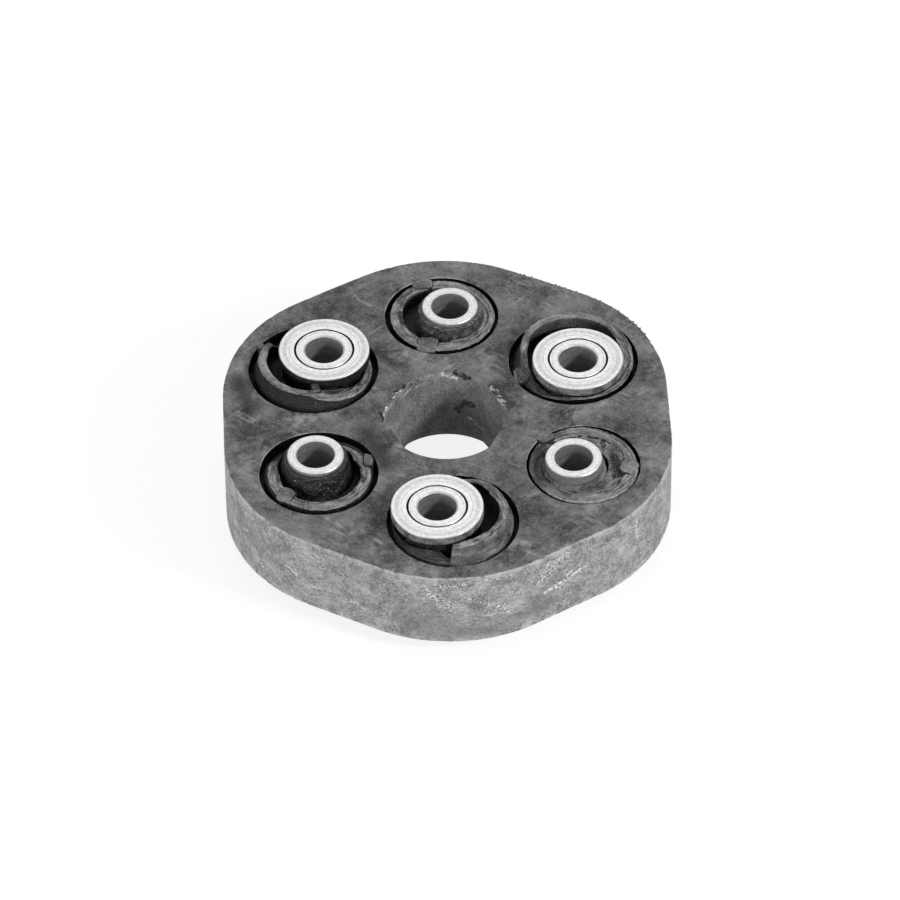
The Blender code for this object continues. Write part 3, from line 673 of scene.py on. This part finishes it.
# Where a blade took the flash off the edge of the centre hole, it left black tears and white rags
HOLE_TEARS = (
    ((3.4, 20.1, 14), (8.2, 18.4, 12.9), 2.2), ((-13.4, 14.6, 14), (-10.6, 16.4, 12.6), 1.6),
    ((-16.2, 12, 14), (-15.4, 12.6, 14), 1.3), ((-21, 2.2, 14), (-20.7, -1.4, 14), 1.2),
    ((19.6, 2.2, 14), (19.5, -1.2, 12.4), 1.5), ((-8.6, 17.8, 12.9), (-7.9, 18.1, 12.2), 1.1))
HOLE_RAGS = (
    ((-19.2, 4.6, 14), (-20, -1.6, 14), 0.9), ((-14.6, 13.6, 10.4), (-7.6, 18.2, 10.6), 0.8),
    ((-17.8, 8.2, 14), (-14.6, 12.9, 14), 0.7), ((-0.4, 20.2, 13.4), (4.4, 19.6, 11.4), 1.4),
    ((15.4, 12.4, 13.6), (18.8, 5.4, 13.2), 1.6))
WALL_TEARS = (
    ((3.8, 19.2, -1.6), (6.4, 18.4, 1.8), 2.2), ((6.4, 18.4, 1.8), (9, 17.4, 1.6), 2.6),
    ((5, 18.9, -3.6), (4.4, 19.1, -1), 2), ((7, 18.3, -9.4), (9.2, 17.3, -8.9), 2))

# Natural rubber, compression moulded and then bloomed: a grey, cloudy, fine-grained matt face,
# paler on the rim, partly chalk where it was handled and rubbed and partly painted light on the
# sides
rubber_face = moulded_rubber("natural_rubber_moulded_bloomed", ("#3b3b3b", "#818181"),
                             ("#7a7a7a", "#b8b8b8"), "#c4c4c4", 0.7, wear=1.0, relief=0.45,
                             pale=PALE_SCARS + HOLE_RAGS, faint=FAINT_SCARS,
                             flecked=FLECKED_PLACES, dull=DULL_PLACES, soot_and_shade=SOOTY_PLACES,
                             dark=HOLE_TEARS)
# The wall of the centre hole stays darker and smoother than the rim
rubber_hole = moulded_rubber("natural_rubber_moulded_cored", ("#3b3b3b", "#818181"),
                             ("#626262", "#9a9a9a"), "#9a9a9a", 0.6, wear=0.3, relief=0.3,
                             pale=HOLE_RAGS + (((8.0, 17.9, -5.0), (12.0, 15.6, -7.6), 1.8),),
                             dark=HOLE_TEARS + WALL_TEARS)
# Where the mould overfilled a pocket it is as grey as the faces, but for a crack at one sleeve
rubber_filled = moulded_rubber("natural_rubber_moulded_brimming", ("#4c4c4c", "#7a7a7a"),
                               ("#484848", "#6e6e6e"), "#6a6a6a", 0.6, relief=0.4, wear=0.3)
rubber_cracked = moulded_rubber("natural_rubber_moulded_cracked", ("#4c4c4c", "#7a7a7a"),
                                ("#484848", "#6e6e6e"), "#6a6a6a", 0.6, relief=0.4, wear=0.3,
                                dark=(((30.6, -20.2, 14.2), (29.8, -25.6, 14.2), 2.6),
                                      ((29.8, -25.6, 14.2), (31.6, -31.6, 14.2), 2.2)))
# The same rubber in the pockets' walls and floors: black, and darker still as painted shade
rubber_well_shaded = moulded_rubber("natural_rubber_moulded_black_shaded", ("#0c0c0c", "#202020"),
                             ("#080808", "#161616"), "#1e1e1e", 0.5, relief=1.2, talc=0.8)
# On the skirts round most sleeves it is black, lumpy and glossy where the mould didn't fill
rubber_lumpy = moulded_rubber("natural_rubber_moulded_unfilled", ("#101010", "#2e2e2e"),
                              ("#080808", "#222222"), "#242424", 0.33, relief=1.2, gloss=0.4,
                              talc=0.8)
# On another it came out dark grey and was rubbed in rings
rubber_smooth = moulded_rubber("natural_rubber_moulded_smooth", ("#303030", "#585858"),
                               ("#161616", "#444444"), "#5a5a5a", 0.45, relief=1.0,
                               gloss=0.25, streaks=0.6)

disc = finished(disc_bm, "rubber_disc_dressed", (rubber_face, rubber_well_shaded, rubber_lumpy,
                                                  rubber_smooth, rubber_cracked, rubber_hole))
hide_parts("rubber_disc")

# Rags of flash that the trimming left along the far right edge, each a flattened, leaning cone
rags_bm = bmesh.new()
RAGS = 26
for rag in range(RAGS):
    angle = math.radians(26 + 42 * rag / RAGS + 1.3 * ripple(rag, 0, 0, 0.37, 2))
    size = 0.55 + 0.45 * ripple(rag, 1, 0, 0.73, 4)
    if size < 0.35:
        continue
    spot = min(rim_loop(0.25 * MM, HALF_THICKNESS - 0.3 * MM),
               key=lambda p: abs(math.atan2(p[1], p[0]) - angle))
    place = (Matrix.Translation(spot) @ Matrix.Rotation(angle, 4, "Z")
             @ Matrix.Rotation(math.radians(78 + 14 * ripple(rag, 2, 0, 0.51, 6)), 4, "Y")
             @ Matrix.Diagonal((0.35, 1.0 + 0.7 * size, 1.0, 1.0)))
    bmesh.ops.create_cone(rags_bm, cap_ends=True, segments=7, radius1=0.62 * MM, radius2=0.12 * MM,
                          depth=1.9 * MM * size, matrix=place)
for v in rags_bm.verts:
    push = Vector([ripple(*v.co, 0.5 * MM, seed) for seed in (1, 2, 3)])
    v.co += 0.12 * MM * push
rags = finished(rags_bm, "rim_flash_rags", (rubber_face,))

# Bolt sleeves
# Thick steel tubes, one for each bolt, turned from bar and bonded into the rubber. Both ends are
# faced on a lathe after moulding, so they are the brightest metal of the part.
BORE_RADIUS = 6.05 * MM
SLEEVE_CHAMFER = 0.5 * MM
LATHE_STEPS = 96
LATHE_SHARP = 25


def turned(profile, steps):
    """A closed run of (radius, height) points spun round Z."""
    bm = bmesh.new()
    loops = []
    for radius, height in profile:
        loops.append(lay(bm, [(radius * math.cos(2 * math.pi * step / steps),
                               radius * math.sin(2 * math.pi * step / steps), height)
                              for step in range(steps)]))
    skin(bm, loops + loops[:1])
    return bm


def faced_metal(name, dark, bright, roughness, metallic=1.0):
    """Turned metal between two greys, with the tool's rings round its Z axis."""
    made, tree = blank_material(name)
    at = add_node(tree, "ShaderNodeTexCoord").outputs["Object"]
    height = add_node(tree, "ShaderNodeSeparateXYZ", {0: at}).outputs["Z"]
    # Rings left by the lathe tool, 0.12 mm apart, drawn at 0.24 mm so that they show
    feed = add_node(tree, "ShaderNodeCombineXYZ", {0: off_axis(tree, at), 1: height}).outputs[0]
    rings = add_node(tree, "ShaderNodeTexNoise", {"Vector": feed, "Scale": 4200.0, "Detail": 3.0,
                                                  "Roughness": 0.6}).outputs[0]
    stain = add_node(tree, "ShaderNodeTexNoise", {"Vector": at, "Scale": 900.0, "Detail": 5.0,
                                                  "Roughness": 0.6}).outputs[0]
    mixed = add_node(tree, "ShaderNodeMath", {0: stain, 1: 0.5, 2: rings},
                     operation="MULTIPLY_ADD").outputs[0]
    body = add_node(tree, "ShaderNodeValToRGB", {0: mixed},
                    ((0.58, dark), (0.92, bright))).outputs[0]
    bump = add_node(tree, "ShaderNodeBump", {"Strength": 0.3, "Distance": 0.03 * MM,
                                             "Height": rings}).outputs[0]
    shader = add_node(tree, "ShaderNodeBsdfPrincipled", {"Base Color": body, "Metallic": metallic,
                                                         "Roughness": roughness, "Normal": bump})
    add_node(tree, "ShaderNodeOutputMaterial", {"Surface": shader.outputs[0]})
    return made


# Free-cutting steel, faced: bright and almost white, with fine rings from the tool
steel_faced = faced_metal("free_cutting_steel_faced", "#9a9a9a", "#cecece", 0.42)
# The drilled bore of the same steel, phosphated against rust: a matt middle grey
steel_bored = faced_metal("free_cutting_steel_phosphated", "#5e5e5e", "#868686", 0.6, 0.2)

for station in range(6):
    flip = 1 if station % 2 == 0 else -1
    high = HALF_THICKNESS + FLANGED_END
    low = -HALF_THICKNESS - PLAIN_END
    c = SLEEVE_CHAMFER
    profile = [(BORE_RADIUS + 0.3 * c, high - 0.8 * c), (BORE_RADIUS + 0.9 * c, high - 0.3 * c),
               (BORE_RADIUS + 1.5 * c, high), (SLEEVE_RADIUS - 0.3 * c, high),
               (SLEEVE_RADIUS, high - 0.3 * c), (SLEEVE_RADIUS, low + 1.2 * c),
               (SLEEVE_RADIUS - 0.15 * c, low + 0.5 * c), (SLEEVE_RADIUS - 0.7 * c, low),
               (BORE_RADIUS + 0.8 * c, low), (BORE_RADIUS + 0.2 * c, low + 0.3 * c),
               (BORE_RADIUS, low + c), (BORE_RADIUS, high - 2 * c)]
    sleeve_bm = turned([(radius, flip * height) for radius, height in profile], LATHE_STEPS)
    for face in sleeve_bm.faces:
        middle = face.calc_center_median()
        reach = math.hypot(middle.x, middle.y)
        outside = (reach > SLEEVE_RADIUS - 0.1 * c
                   and abs(middle.z) < PLAIN_END + HALF_THICKNESS - 0.5 * c)
        face.material_index = 1 if reach < BORE_RADIUS + 0.1 * c or outside else 0
    sleeve = finished(sleeve_bm, f"turned_sleeve_{station + 1}", (steel_faced, steel_bored),
                      LATHE_SHARP)
    sleeve.matrix_world = station_place(station)
    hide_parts(f"bolt_sleeve_{station + 1}")

# Flange washers
# Steel rings pressed on one end of each sleeve, where the bolt's head or nut bears. They are
# faced together with the sleeve, which leaves only a fine dark line between the two. Their sides
# carry a film of the rubber that the mould pressed out; at the second pair of sleeves this film is
# the black rubber, which there also stands for painted shade from the lip and groove above it.
WASHER_RADIUS = 14.75 * MM
WASHER_THICKNESS = 3 * MM
WASHER_EDGE = 0.35 * MM
SEAM = 0.6 * MM
for station in range(6):
    flip = 1 if station % 2 == 0 else -1
    high = HALF_THICKNESS + FLANGED_END
    low = high - WASHER_THICKNESS
    inner = SLEEVE_RADIUS + SEAM
    profile = [(inner, low), (inner, high - 0.15 * MM), (inner + 0.1 * MM, high),
               (WASHER_RADIUS - WASHER_EDGE - 0.1 * MM, high)]
    profile += [(WASHER_RADIUS + WASHER_EDGE * (math.sin(turn) - 1),
                 high - WASHER_EDGE * (1 - math.cos(turn)))
                for turn in (0, math.pi / 8, math.pi / 4, math.pi * 3 / 8, math.pi / 2)]
    profile += [(WASHER_RADIUS, low + 0.2 * MM), (WASHER_RADIUS - 0.2 * MM, low)]
    washer_bm = turned([(radius, flip * height) for radius, height in profile], LATHE_STEPS)
    for face in washer_bm.faces:
        level = abs(face.calc_center_median().z)
        face.material_index = 1 if level < high - 0.9 * WASHER_EDGE else 0
    # At the second pair the film is black rubber that also holds painted shade
    film_and_shade = (rubber_filled, rubber_lumpy, rubber_filled)[like(station, flip) // 2]
    washer = finished(washer_bm, f"turned_washer_{station + 1}", (steel_faced, film_and_shade), LATHE_SHARP)
    washer.matrix_world = station_place(station)
    face_name = "top" if flip == 1 else "bottom"
    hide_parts(f"{face_name}_flange_washer_{station // 2 + 1}")

# Guide collars
# Loose rubber rings that lie in the pockets and steer the bolts' heads. Tabs cast with the disc
# bridge the groove round them. At a flanged end the ring has crept, and its free part leans out
# as a lip, cut off square or torn where the tool left it.
COLLAR_STEPS = 288
FLANGED_WALL = 2.4 * MM
PLAIN_WALL = 3.8 * MM
# How far below a face everything in a pocket takes the collar's wall rubber: painted shade, black
# on all but one
SHADED_DEPTH = 1.5 * MM
TAB_DEPTH = 3.4 * MM
GROOVE = 1.8 * MM
# The top of each upper collar, all round: degrees round the disc's frame, then its inner and outer
# radius and its height over the rubber, in mm. A lower collar has the form of the one before it.
COLLAR_TOPS = (
    ((0, 15.6, 19.5, 0.6), (25, 16.2, 19.6, 1.5), (45, 16.8, 19.2, 2.8), (70, 16.6, 19.2, 3.6),
     (110, 16.4, 19, 3.7), (140, 16.2, 18.8, 3.6), (160, 15.2, 17.6, 3), (180, 14.7, 17.2, 1.6),
     (200, 15, 17.6, 0.2), (230, 16, 19, -1), (270, 16.4, 19.9, 1.2), (310, 16.4, 20.1, 1),
     (340, 16, 19.6, 0.9)),
    ((0, 13.2, 17.3, 0), (60, 13.2, 17, 0.1), (120, 13.4, 16.9, 0.3), (150, 13.4, 16.8, 0.3),
     (180, 12.6, 16.7, 0), (220, 12.6, 16.8, 0), (270, 13, 16.9, 0), (320, 13.2, 17.2, 0)),
    ((110, 16.5, 18.8, -3), (130, 16.5, 18.8, -2.5), (140, 16.8, 19.2, 1.2),
     (150, 15.8, 18.3, 2.6), (165, 15.2, 18, 3.5), (205, 14.6, 17.4, 3.8), (245, 14.2, 16.5, 3.7),
     (262, 13.9, 16.2, 3.4), (275, 12.4, 17.2, 2.4), (290, 12.4, 18, 1.4), (310, 13.6, 18.8, 0.6),
     (325, 15.6, 19, 0), (0, 16.9, 18.9, -0.6), (60, 16.8, 18.8, -1.5), (90, 16.6, 18.8, -2.5)),
    ((0, 13.4, 16.6, 0), (20, 13, 16.4, 0), (40, 12.3, 15.8, -0.2), (60, 12.3, 15.5, -0.8),
     (80, 13, 16.5, -2.2), (120, 13, 16.6, -2.8), (150, 13, 16.5, -1.5), (165, 12.8, 16.4, 0),
     (185, 12.5, 16.3, 0.2), (240, 13.2, 16.8, 0), (300, 13.4, 17.2, 0)),
    ((200, 13, 19, -0.9), (248, 13, 19.2, -0.7), (258, 15.4, 19.3, -0.7), (265, 16.2, 19.4, -0.7),
     (267, 14.2, 16.8, 3.5), (284, 13.3, 15.9, 3.6), (312, 13.5, 16.2, 3.7), (334, 14.4, 17, 3.7),
     (354, 14.7, 17.4, 3.6), (14, 15, 17.8, 3.5), (33, 14.6, 17.8, 3.2), (50, 16, 18.6, 2.6),
     (62, 17.2, 19, 1.8), (75, 17.4, 19.2, 0.2), (100, 17, 19, -1), (150, 16, 19, -2)),
    ((10, 13.4, 17, 0), (60, 13.4, 17, 0), (95, 13.6, 17.6, 0), (150, 13.4, 17.3, 0),
     (220, 13.4, 17.3, 0), (270, 13.6, 17.9, 0), (330, 13.6, 17.9, 0)))
# Rubber that filled two pockets up between collar and skirt, but for a few places
FILLINGS = {
    1: ((-75, 8, 16, -0.3), (70, 8, 16, -0.3), (88, 8, 14.5, -4.3), (250, 8, 14.5, -4.3)),
    5: ((0, 8, 15.9, -0.4), (180, 8, 15.9, -0.4))}
# Torn or missing places on the collars' tops, one a black crescent of painted shade for a gap,
# places rubbed pale, and broad dark smears of soot and, on the fifth collar's low part, of painted
# shade, each in mm from its collar's middle
TORN_AND_GAP_SHADE = {
    0: (((5.8, 15, 14.8), (5.9, 15.2, 17.6), 0.8), ((9, 13.4, 14.8), (9.2, 13.6, 17.4), 0.7)),
    1: (((-13.5, 1.4, 14), (-12.2, -3.2, 14), 2.2), ((-9.6, 11.6, 14.6), (-8.6, 15.6, 14.6), 1)),
    2: (((13.6, -8.6, 14.5), (16.8, -7.6, 14.5), 1.2), ((-2, -12.6, 17), (-1.4, -15.2, 17), 0.9)),
    3: (((-5.6, -16.6, 14), (-3.4, -12, 14), 0.8), ((12.8, 2.6, 14), (14, -4.2, 14), 1.8)),
    4: (((17.4, -1, 17), (15.6, -1.6, 17), 0.7),),
    5: (((7, 8.2, 13.7), (7, 10.8, 13.7), 1.6), ((9.9, 3.6, 13.7), (10.6, -4.8, 13.7), 3.4),
        # A black crescent on the fill: painted shade of a gap in it
        ((-11.9, 5, 13.7), (-12.2, -2.6, 13.7), 2.6), ((-12.2, -2.6, 13.7), (-9.6, -8, 13.7), 2.2),
        ((-12.4, 10.4, 13.9), (-8.9, 10.8, 13.9), 1.6))}
RUBBED = {
    0: (((-14.8, 11, 17.4), (-9, 16, 17.5), 2),),
    1: (((-0.5, 15.6, 14.2), (6, 14.8, 14.2), 1.8), ((-14.9, 9, 14.2), (-11, 13.4, 14.2), 2.2),
        ((-14.2, 7.2, 14.2), (-15.5, -3, 14.2), 2.4)),
    2: (((-17, 2, 17.6), (-12, -10.5, 17.6), 1.6),),
    3: (((-15.6, 6, 14), (-16.6, -2, 14), 0.9),),
    4: (((0.4, -14.6, 17.6), (4.4, -13.2, 17.6), 2.4),
        ((4.4, -13.2, 17.6), (9.1, -11.1, 17.6), 2)),
    5: (((-13.2, 11.8, 14.6), (-11, 9.6, 14.6), 0.9), ((18.3, -4, 14.3), (18.5, -0.5, 14.3), 1.2))}
SOOT_AND_SHADE = {
    0: (((-15.5, -10, 14.5), (-11, -14, 14.5), 6), ((-11, -14, 14.5), (-3, -17.5, 14.5), 6),
        ((-17.5, 2, 15), (-16, -6, 14.5), 3)),
    1: (((3, -10.5, 14), (10.5, -6, 14), 1.6),),
    2: (((3, -14, 15), (12, -10, 15), 2),),
    3: (((-12, 6, 14), (-12.4, -3, 14), 2),),
    # Partly soot and partly painted shade, where this collar's top sits low in its pocket
    4: (((-17.5, 4, 13.3), (-16.2, -8.5, 13.3), 8), ((-16.2, -8.5, 13.3), (-9.5, -15.2, 13.3), 8),
        ((-9.5, -15.2, 13.3), (-2.5, -18, 13.3), 8)),
    5: (((-15, 7, 14), (-14.8, -7, 14), 5), ((-5, -9, 13.7), (4, -10, 13.7), 4))}
# Tabs: X and Y from the sleeve's axis, width, depth, turn in degrees and height over the rubber
TABS = (
    ((-18.4, -1.2, 5.6, 7.6, 0, 0.2),),
    ((-8.4, 16, 7.2, 5.6, 8, 0.5), (-7.9, -13.3, 7.4, 7, -12, 0.4)),
    ((-20.5, 7.7, 3.2, 3.4, 30, 0.6), (-3.2, -15.6, 3, 4.8, 14, 3.3)),
    ((16.8, 1.2, 3.6, 6.4, 0, 0.6), (-9.9, -13.5, 6.2, 6.4, -35, 0.5)),
    (),
    ((17.8, -0.4, 6.2, 7.4, -20, 0.6), (-8.4, 14.6, 6.2, 5.4, 35, 0.5)))


def along_rows(rows, degrees):
    """The values of a closed run of rows at an angle, between the two rows on either side of it."""
    start = rows[0][0]
    turned_rows = [((row[0] - start) % 360, row[1:]) for row in rows] + [(360, rows[0][1:])]
    degrees = (degrees - start) % 360
    for (before, near), (after, far) in zip(turned_rows, turned_rows[1:]):
        if before <= degrees <= after:
            share = (degrees - before) / (after - before)
            return [(a + (b - a) * share) * MM for a, b in zip(near, far)]


def skirt_reach(offset, angle, radius):
    """How far from a collar's centre, in a direction, a circle round the sleeve ends."""
    along = -offset.x * math.cos(angle) - offset.y * math.sin(angle)
    return along + math.sqrt(max(along ** 2 - offset.length_squared + radius ** 2, 0))


def ring(bm, rows, shift, axis, walls, room, side, seed):
    """A closed ring round the origin: upright at its foot, leaning to its rows' radii above."""
    base_inner, base_outer = walls
    foot_room, top_room = room
    offset = -axis
    floor = HALF_THICKNESS - POCKET_DEPTH + 0.1 * MM
    loops = [[] for _ in range(14)]
    for step in range(COLLAR_STEPS):
        angle = 2 * math.pi * step / COLLAR_STEPS
        inner, outer, rise = along_rows(rows, math.degrees(angle) - shift)
        top = max(HALF_THICKNESS + rise, floor + 0.6 * MM)
        waist = min(HALF_THICKNESS - 0.8 * MM, top - 0.5 * MM)
        foot_inner = max(base_inner, skirt_reach(offset, angle, foot_room))
        foot_outer = max(base_outer, foot_inner + 0.25 * MM)
        inner = max(inner, skirt_reach(offset, angle, top_room if rise > 2.0 * MM else foot_room))
        outer = max(outer, inner + 0.6 * MM)
        section = [(foot_outer, floor), (foot_outer, waist),
                   (foot_outer + 0.45 * (outer - foot_outer), waist + 0.35 * (top - waist)),
                   (foot_outer + 0.8 * (outer - foot_outer), waist + 0.7 * (top - waist)),
                   (outer, top - 0.35 * MM), (outer - 0.15 * MM, top - 0.08 * MM),
                   (outer - 0.45 * MM, top), (0.5 * (outer + inner), top), (inner + 0.45 * MM, top),
                   (inner + 0.12 * MM, top - 0.08 * MM), (inner, top - 0.35 * MM),
                   (inner + 0.5 * (foot_inner - inner), 0.5 * (top + waist)),
                   (foot_inner, waist), (foot_inner, floor)]
        if outer - inner < 1.2 * MM:
            section[6] = section[7] = section[8] = (0.5 * (outer + inner), top)
        for number, (loop, (radius, height)) in enumerate(zip(loops, section)):
            x = radius * math.cos(angle)
            y = radius * math.sin(angle)
            if 1 < number < 12:
                radius += (0.16 * MM * ripple(x, y, height, 1.5 * MM, seed)
                           + 0.10 * MM * ripple(x, y, height, 0.6 * MM, seed + 1))
                height += 0.20 * MM * ripple(x, y, height, 1.1 * MM, seed + 2)
            loop.append((radius * math.cos(angle), radius * math.sin(angle), side * height))
    loops = [lay(bm, loop) for loop in loops]
    skin(bm, loops[:5], 1)
    skin(bm, loops[4:11], 0)
    skin(bm, loops[10:] + loops[:1], 2)


def pad(bm, place, width, depth, low, high, side, seed):
    """A tab with a torn outline: width by depth on its place, from low to high."""
    loops = []
    for inset, height in ((0, low), (0, high - 0.6 * MM), (0.15, high - 0.25 * MM),
                          (0.45, high - 0.05 * MM), (0.9, high), (1.6, high)):
        loop = []
        for step in range(48):
            turn = 2 * math.pi * step / 48
            way = Vector((math.cos(turn), math.sin(turn)))
            square = (abs(way.x) ** 4 + abs(way.y) ** 4) ** -0.25
            x = way.x * square * max(width / 2 - inset * MM, 0.1 * width)
            y = way.y * square * max(depth / 2 - inset * MM, 0.1 * depth)
            torn = (1 + 0.10 * ripple(x, y, height, 1.6 * MM, seed)
                    + 0.05 * ripple(x, y, 0, 0.7 * MM, seed))
            spot = place @ Vector((x * torn, y * torn, 0))
            lumpy = 0.16 * MM * ripple(spot.x, spot.y, 0, 1.3 * MM, seed) if inset else 0
            if height > low:
                # It runs down into the disc's face on its outer side
                lumpy -= 0.3 * max(0.0, spot.length - place.to_translation().length)
            loop.append((spot.x, spot.y, side * (height + lumpy)))
        loops.append(lay(bm, loop))
    skin(bm, loops[:4], 1)
    skin(bm, loops[3:], 3)
    bm.faces.new(loops[0])
    lid = bm.faces.new(loops[-1])
    lid.smooth = True
    lid.material_index = 3


# A softer rubber, extruded and cut. Its walls are black rubber, darkened further as painted shade
# of the pockets; the outer wall of the one lip that leans far out is a grey copy, as painted light
collar_wall_shaded = moulded_rubber("soft_rubber_extruded_black_shaded", ("#0e0e0e", "#262626"),
                             ("#080808", "#181818"), "#141414", 0.45, relief=1.3, gloss=0.3,
                             talc=0.6)
collar_inner = moulded_rubber("soft_rubber_extruded_slit", ("#3a3a3a", "#606060"),
                              ("#3a3a3a", "#666666"), "#5a5a5a", 0.5, relief=0.5,
                              dark=TORN_AND_GAP_SHADE[0])
collar_slope_lit = moulded_rubber("soft_rubber_extruded_leaning_lit", ("#343434", "#646464"),
                              ("#303030", "#5a5a5a"), "#5a5a5a", 0.5, wear=0.3, relief=0.5,
                              streaks=0.5)
# The tabs are of the disc's own rubber
tab_rubber = moulded_rubber("natural_rubber_moulded_torn", ("#545454", "#8c8c8c"),
                            ("#2c2c2c", "#505050"), "#9a9a9a", 0.65, wear=0.8, relief=0.5)
# Their tops are darker and oily at the flanged ends and scuffed pale in rings at the plain ends
TOP_FINISHES = (
    ("oily", ("#444444", "#8e8e8e"), ("#161616", "#343434"), "#7c7c7c", 0.5, 0.5, 0.6, 1.0),
    ("scuffed", ("#4e4e4e", "#929292"), ("#1c1c1c", "#3c3c3c"), "#909090", 0.6, 0.4, 0.5, 0.8))
COLLAR_FINISHES = []
for form in range(6):
    kind, level, wall, worn_edge_and_highlight, roughness, wear, relief, streaks = TOP_FINISHES[form % 2]
    collar_top = moulded_rubber(f"soft_rubber_extruded_{kind}_{form + 1}", level, wall, worn_edge_and_highlight,
                                roughness, wear=wear, relief=relief, streaks=streaks,
                                faint=RUBBED[form], soot_and_shade=SOOT_AND_SHADE[form], dark=TORN_AND_GAP_SHADE[form])
    COLLAR_FINISHES.append((collar_top, collar_slope_lit if form == 4 else collar_wall_shaded,
                            collar_inner if form == 0 else collar_wall_shaded,
                            rubber_smooth if form in (0, 2) else tab_rubber))

for face_name, side in (("top", 1), ("bottom", -1)):
    for station in range(6):
        flanged = flanged_at(station, side)
        form = like(station, side)
        shift = math.degrees(station_turn(station) - station_turn(form))
        foot = (FLANGED_SKIRT if flanged else PLAIN_SKIRT)[0] + 0.12 * MM
        middle, reach = pocket(station, side)
        middle = middle.to_2d()
        axis = station_place(station).to_translation().to_2d() - middle
        outer = reach - GROOVE
        walls = (outer - (FLANGED_WALL if flanged else PLAIN_WALL), outer)
        room = (foot, WASHER_RADIUS + 0.12 * MM if flanged else foot)
        collar_bm = bmesh.new()
        ring(collar_bm, COLLAR_TOPS[form], shift, axis, walls, room, side, 3 * form)
        if form in FILLINGS:
            ring(collar_bm, FILLINGS[form], shift, axis, (8 * MM, walls[0] + 0.5 * MM),
                 (foot - 2.4 * MM, foot - 2.4 * MM), side, 3 * form)
        swing = Matrix.Rotation(math.radians(shift), 4, "Z")
        for number, (x, y, width, depth, turn, rise) in enumerate(TABS[form]):
            spot = (Matrix.Translation((axis.x, axis.y, 0)) @ swing
                    @ Matrix.Translation((x * MM, y * MM, 0))
                    @ Matrix.Rotation(math.radians(turn), 4, "Z"))
            pad(collar_bm, spot, width * MM, depth * MM, HALF_THICKNESS - TAB_DEPTH,
                HALF_THICKNESS + rise * MM, side, 5.0 * form + number)
        for face in collar_bm.faces:
            # What lies deep in the pocket takes the wall rubber, whichever way it faces: painted
            # shade
            if abs(face.calc_center_median().z) < HALF_THICKNESS - SHADED_DEPTH:
                face.material_index = 1
        collar = finished(collar_bm, f"rubber_collar_{face_name}_{station + 1}",
                          COLLAR_FINISHES[form])
        collar.location = (middle.x, middle.y, 0)
        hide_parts(f"{face_name}_guide_collar_{station + 1}")

# Spacers and cord loops
# Inside the rubber, where they can't be seen, aluminium spacers on the sleeves carry loops of
# polyester cord, wound wet with rubber solution round each pair of sleeves.
spacer_metal = faced_metal("aluminium_turned", "#b4b6b8", "#d0d2d4", 0.45)
cord, tree = blank_material("polyester_cord_wound")
at = add_node(tree, "ShaderNodeTexCoord").outputs["Object"]
# Layers of cord, drawn 1.6 mm apart, one above the other
layers = add_node(tree, "ShaderNodeTexWave", {"Vector": at, "Scale": 196.0, "Distortion": 0.6},
                  bands_direction="Z").outputs["Fac"]
body = add_node(tree, "ShaderNodeValToRGB", {0: layers},
                ((0.1, "#8f866e"), (0.8, "#cdc3a6"))).outputs[0]
bump = add_node(tree, "ShaderNodeBump", {"Strength": 0.6, "Distance": 0.3 * MM,
                                         "Height": layers}).outputs[0]
shader = add_node(tree, "ShaderNodeBsdfPrincipled", {"Base Color": body, "Roughness": 0.85,
                                                     "Normal": bump})
add_node(tree, "ShaderNodeOutputMaterial", {"Surface": shader.outputs[0]})
for name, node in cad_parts.items():
    if name.startswith("spacer_collar"):
        node.material_slots[0].material = spacer_metal
    if "cord_loop" in name:
        node.material_slots[0].material = cord
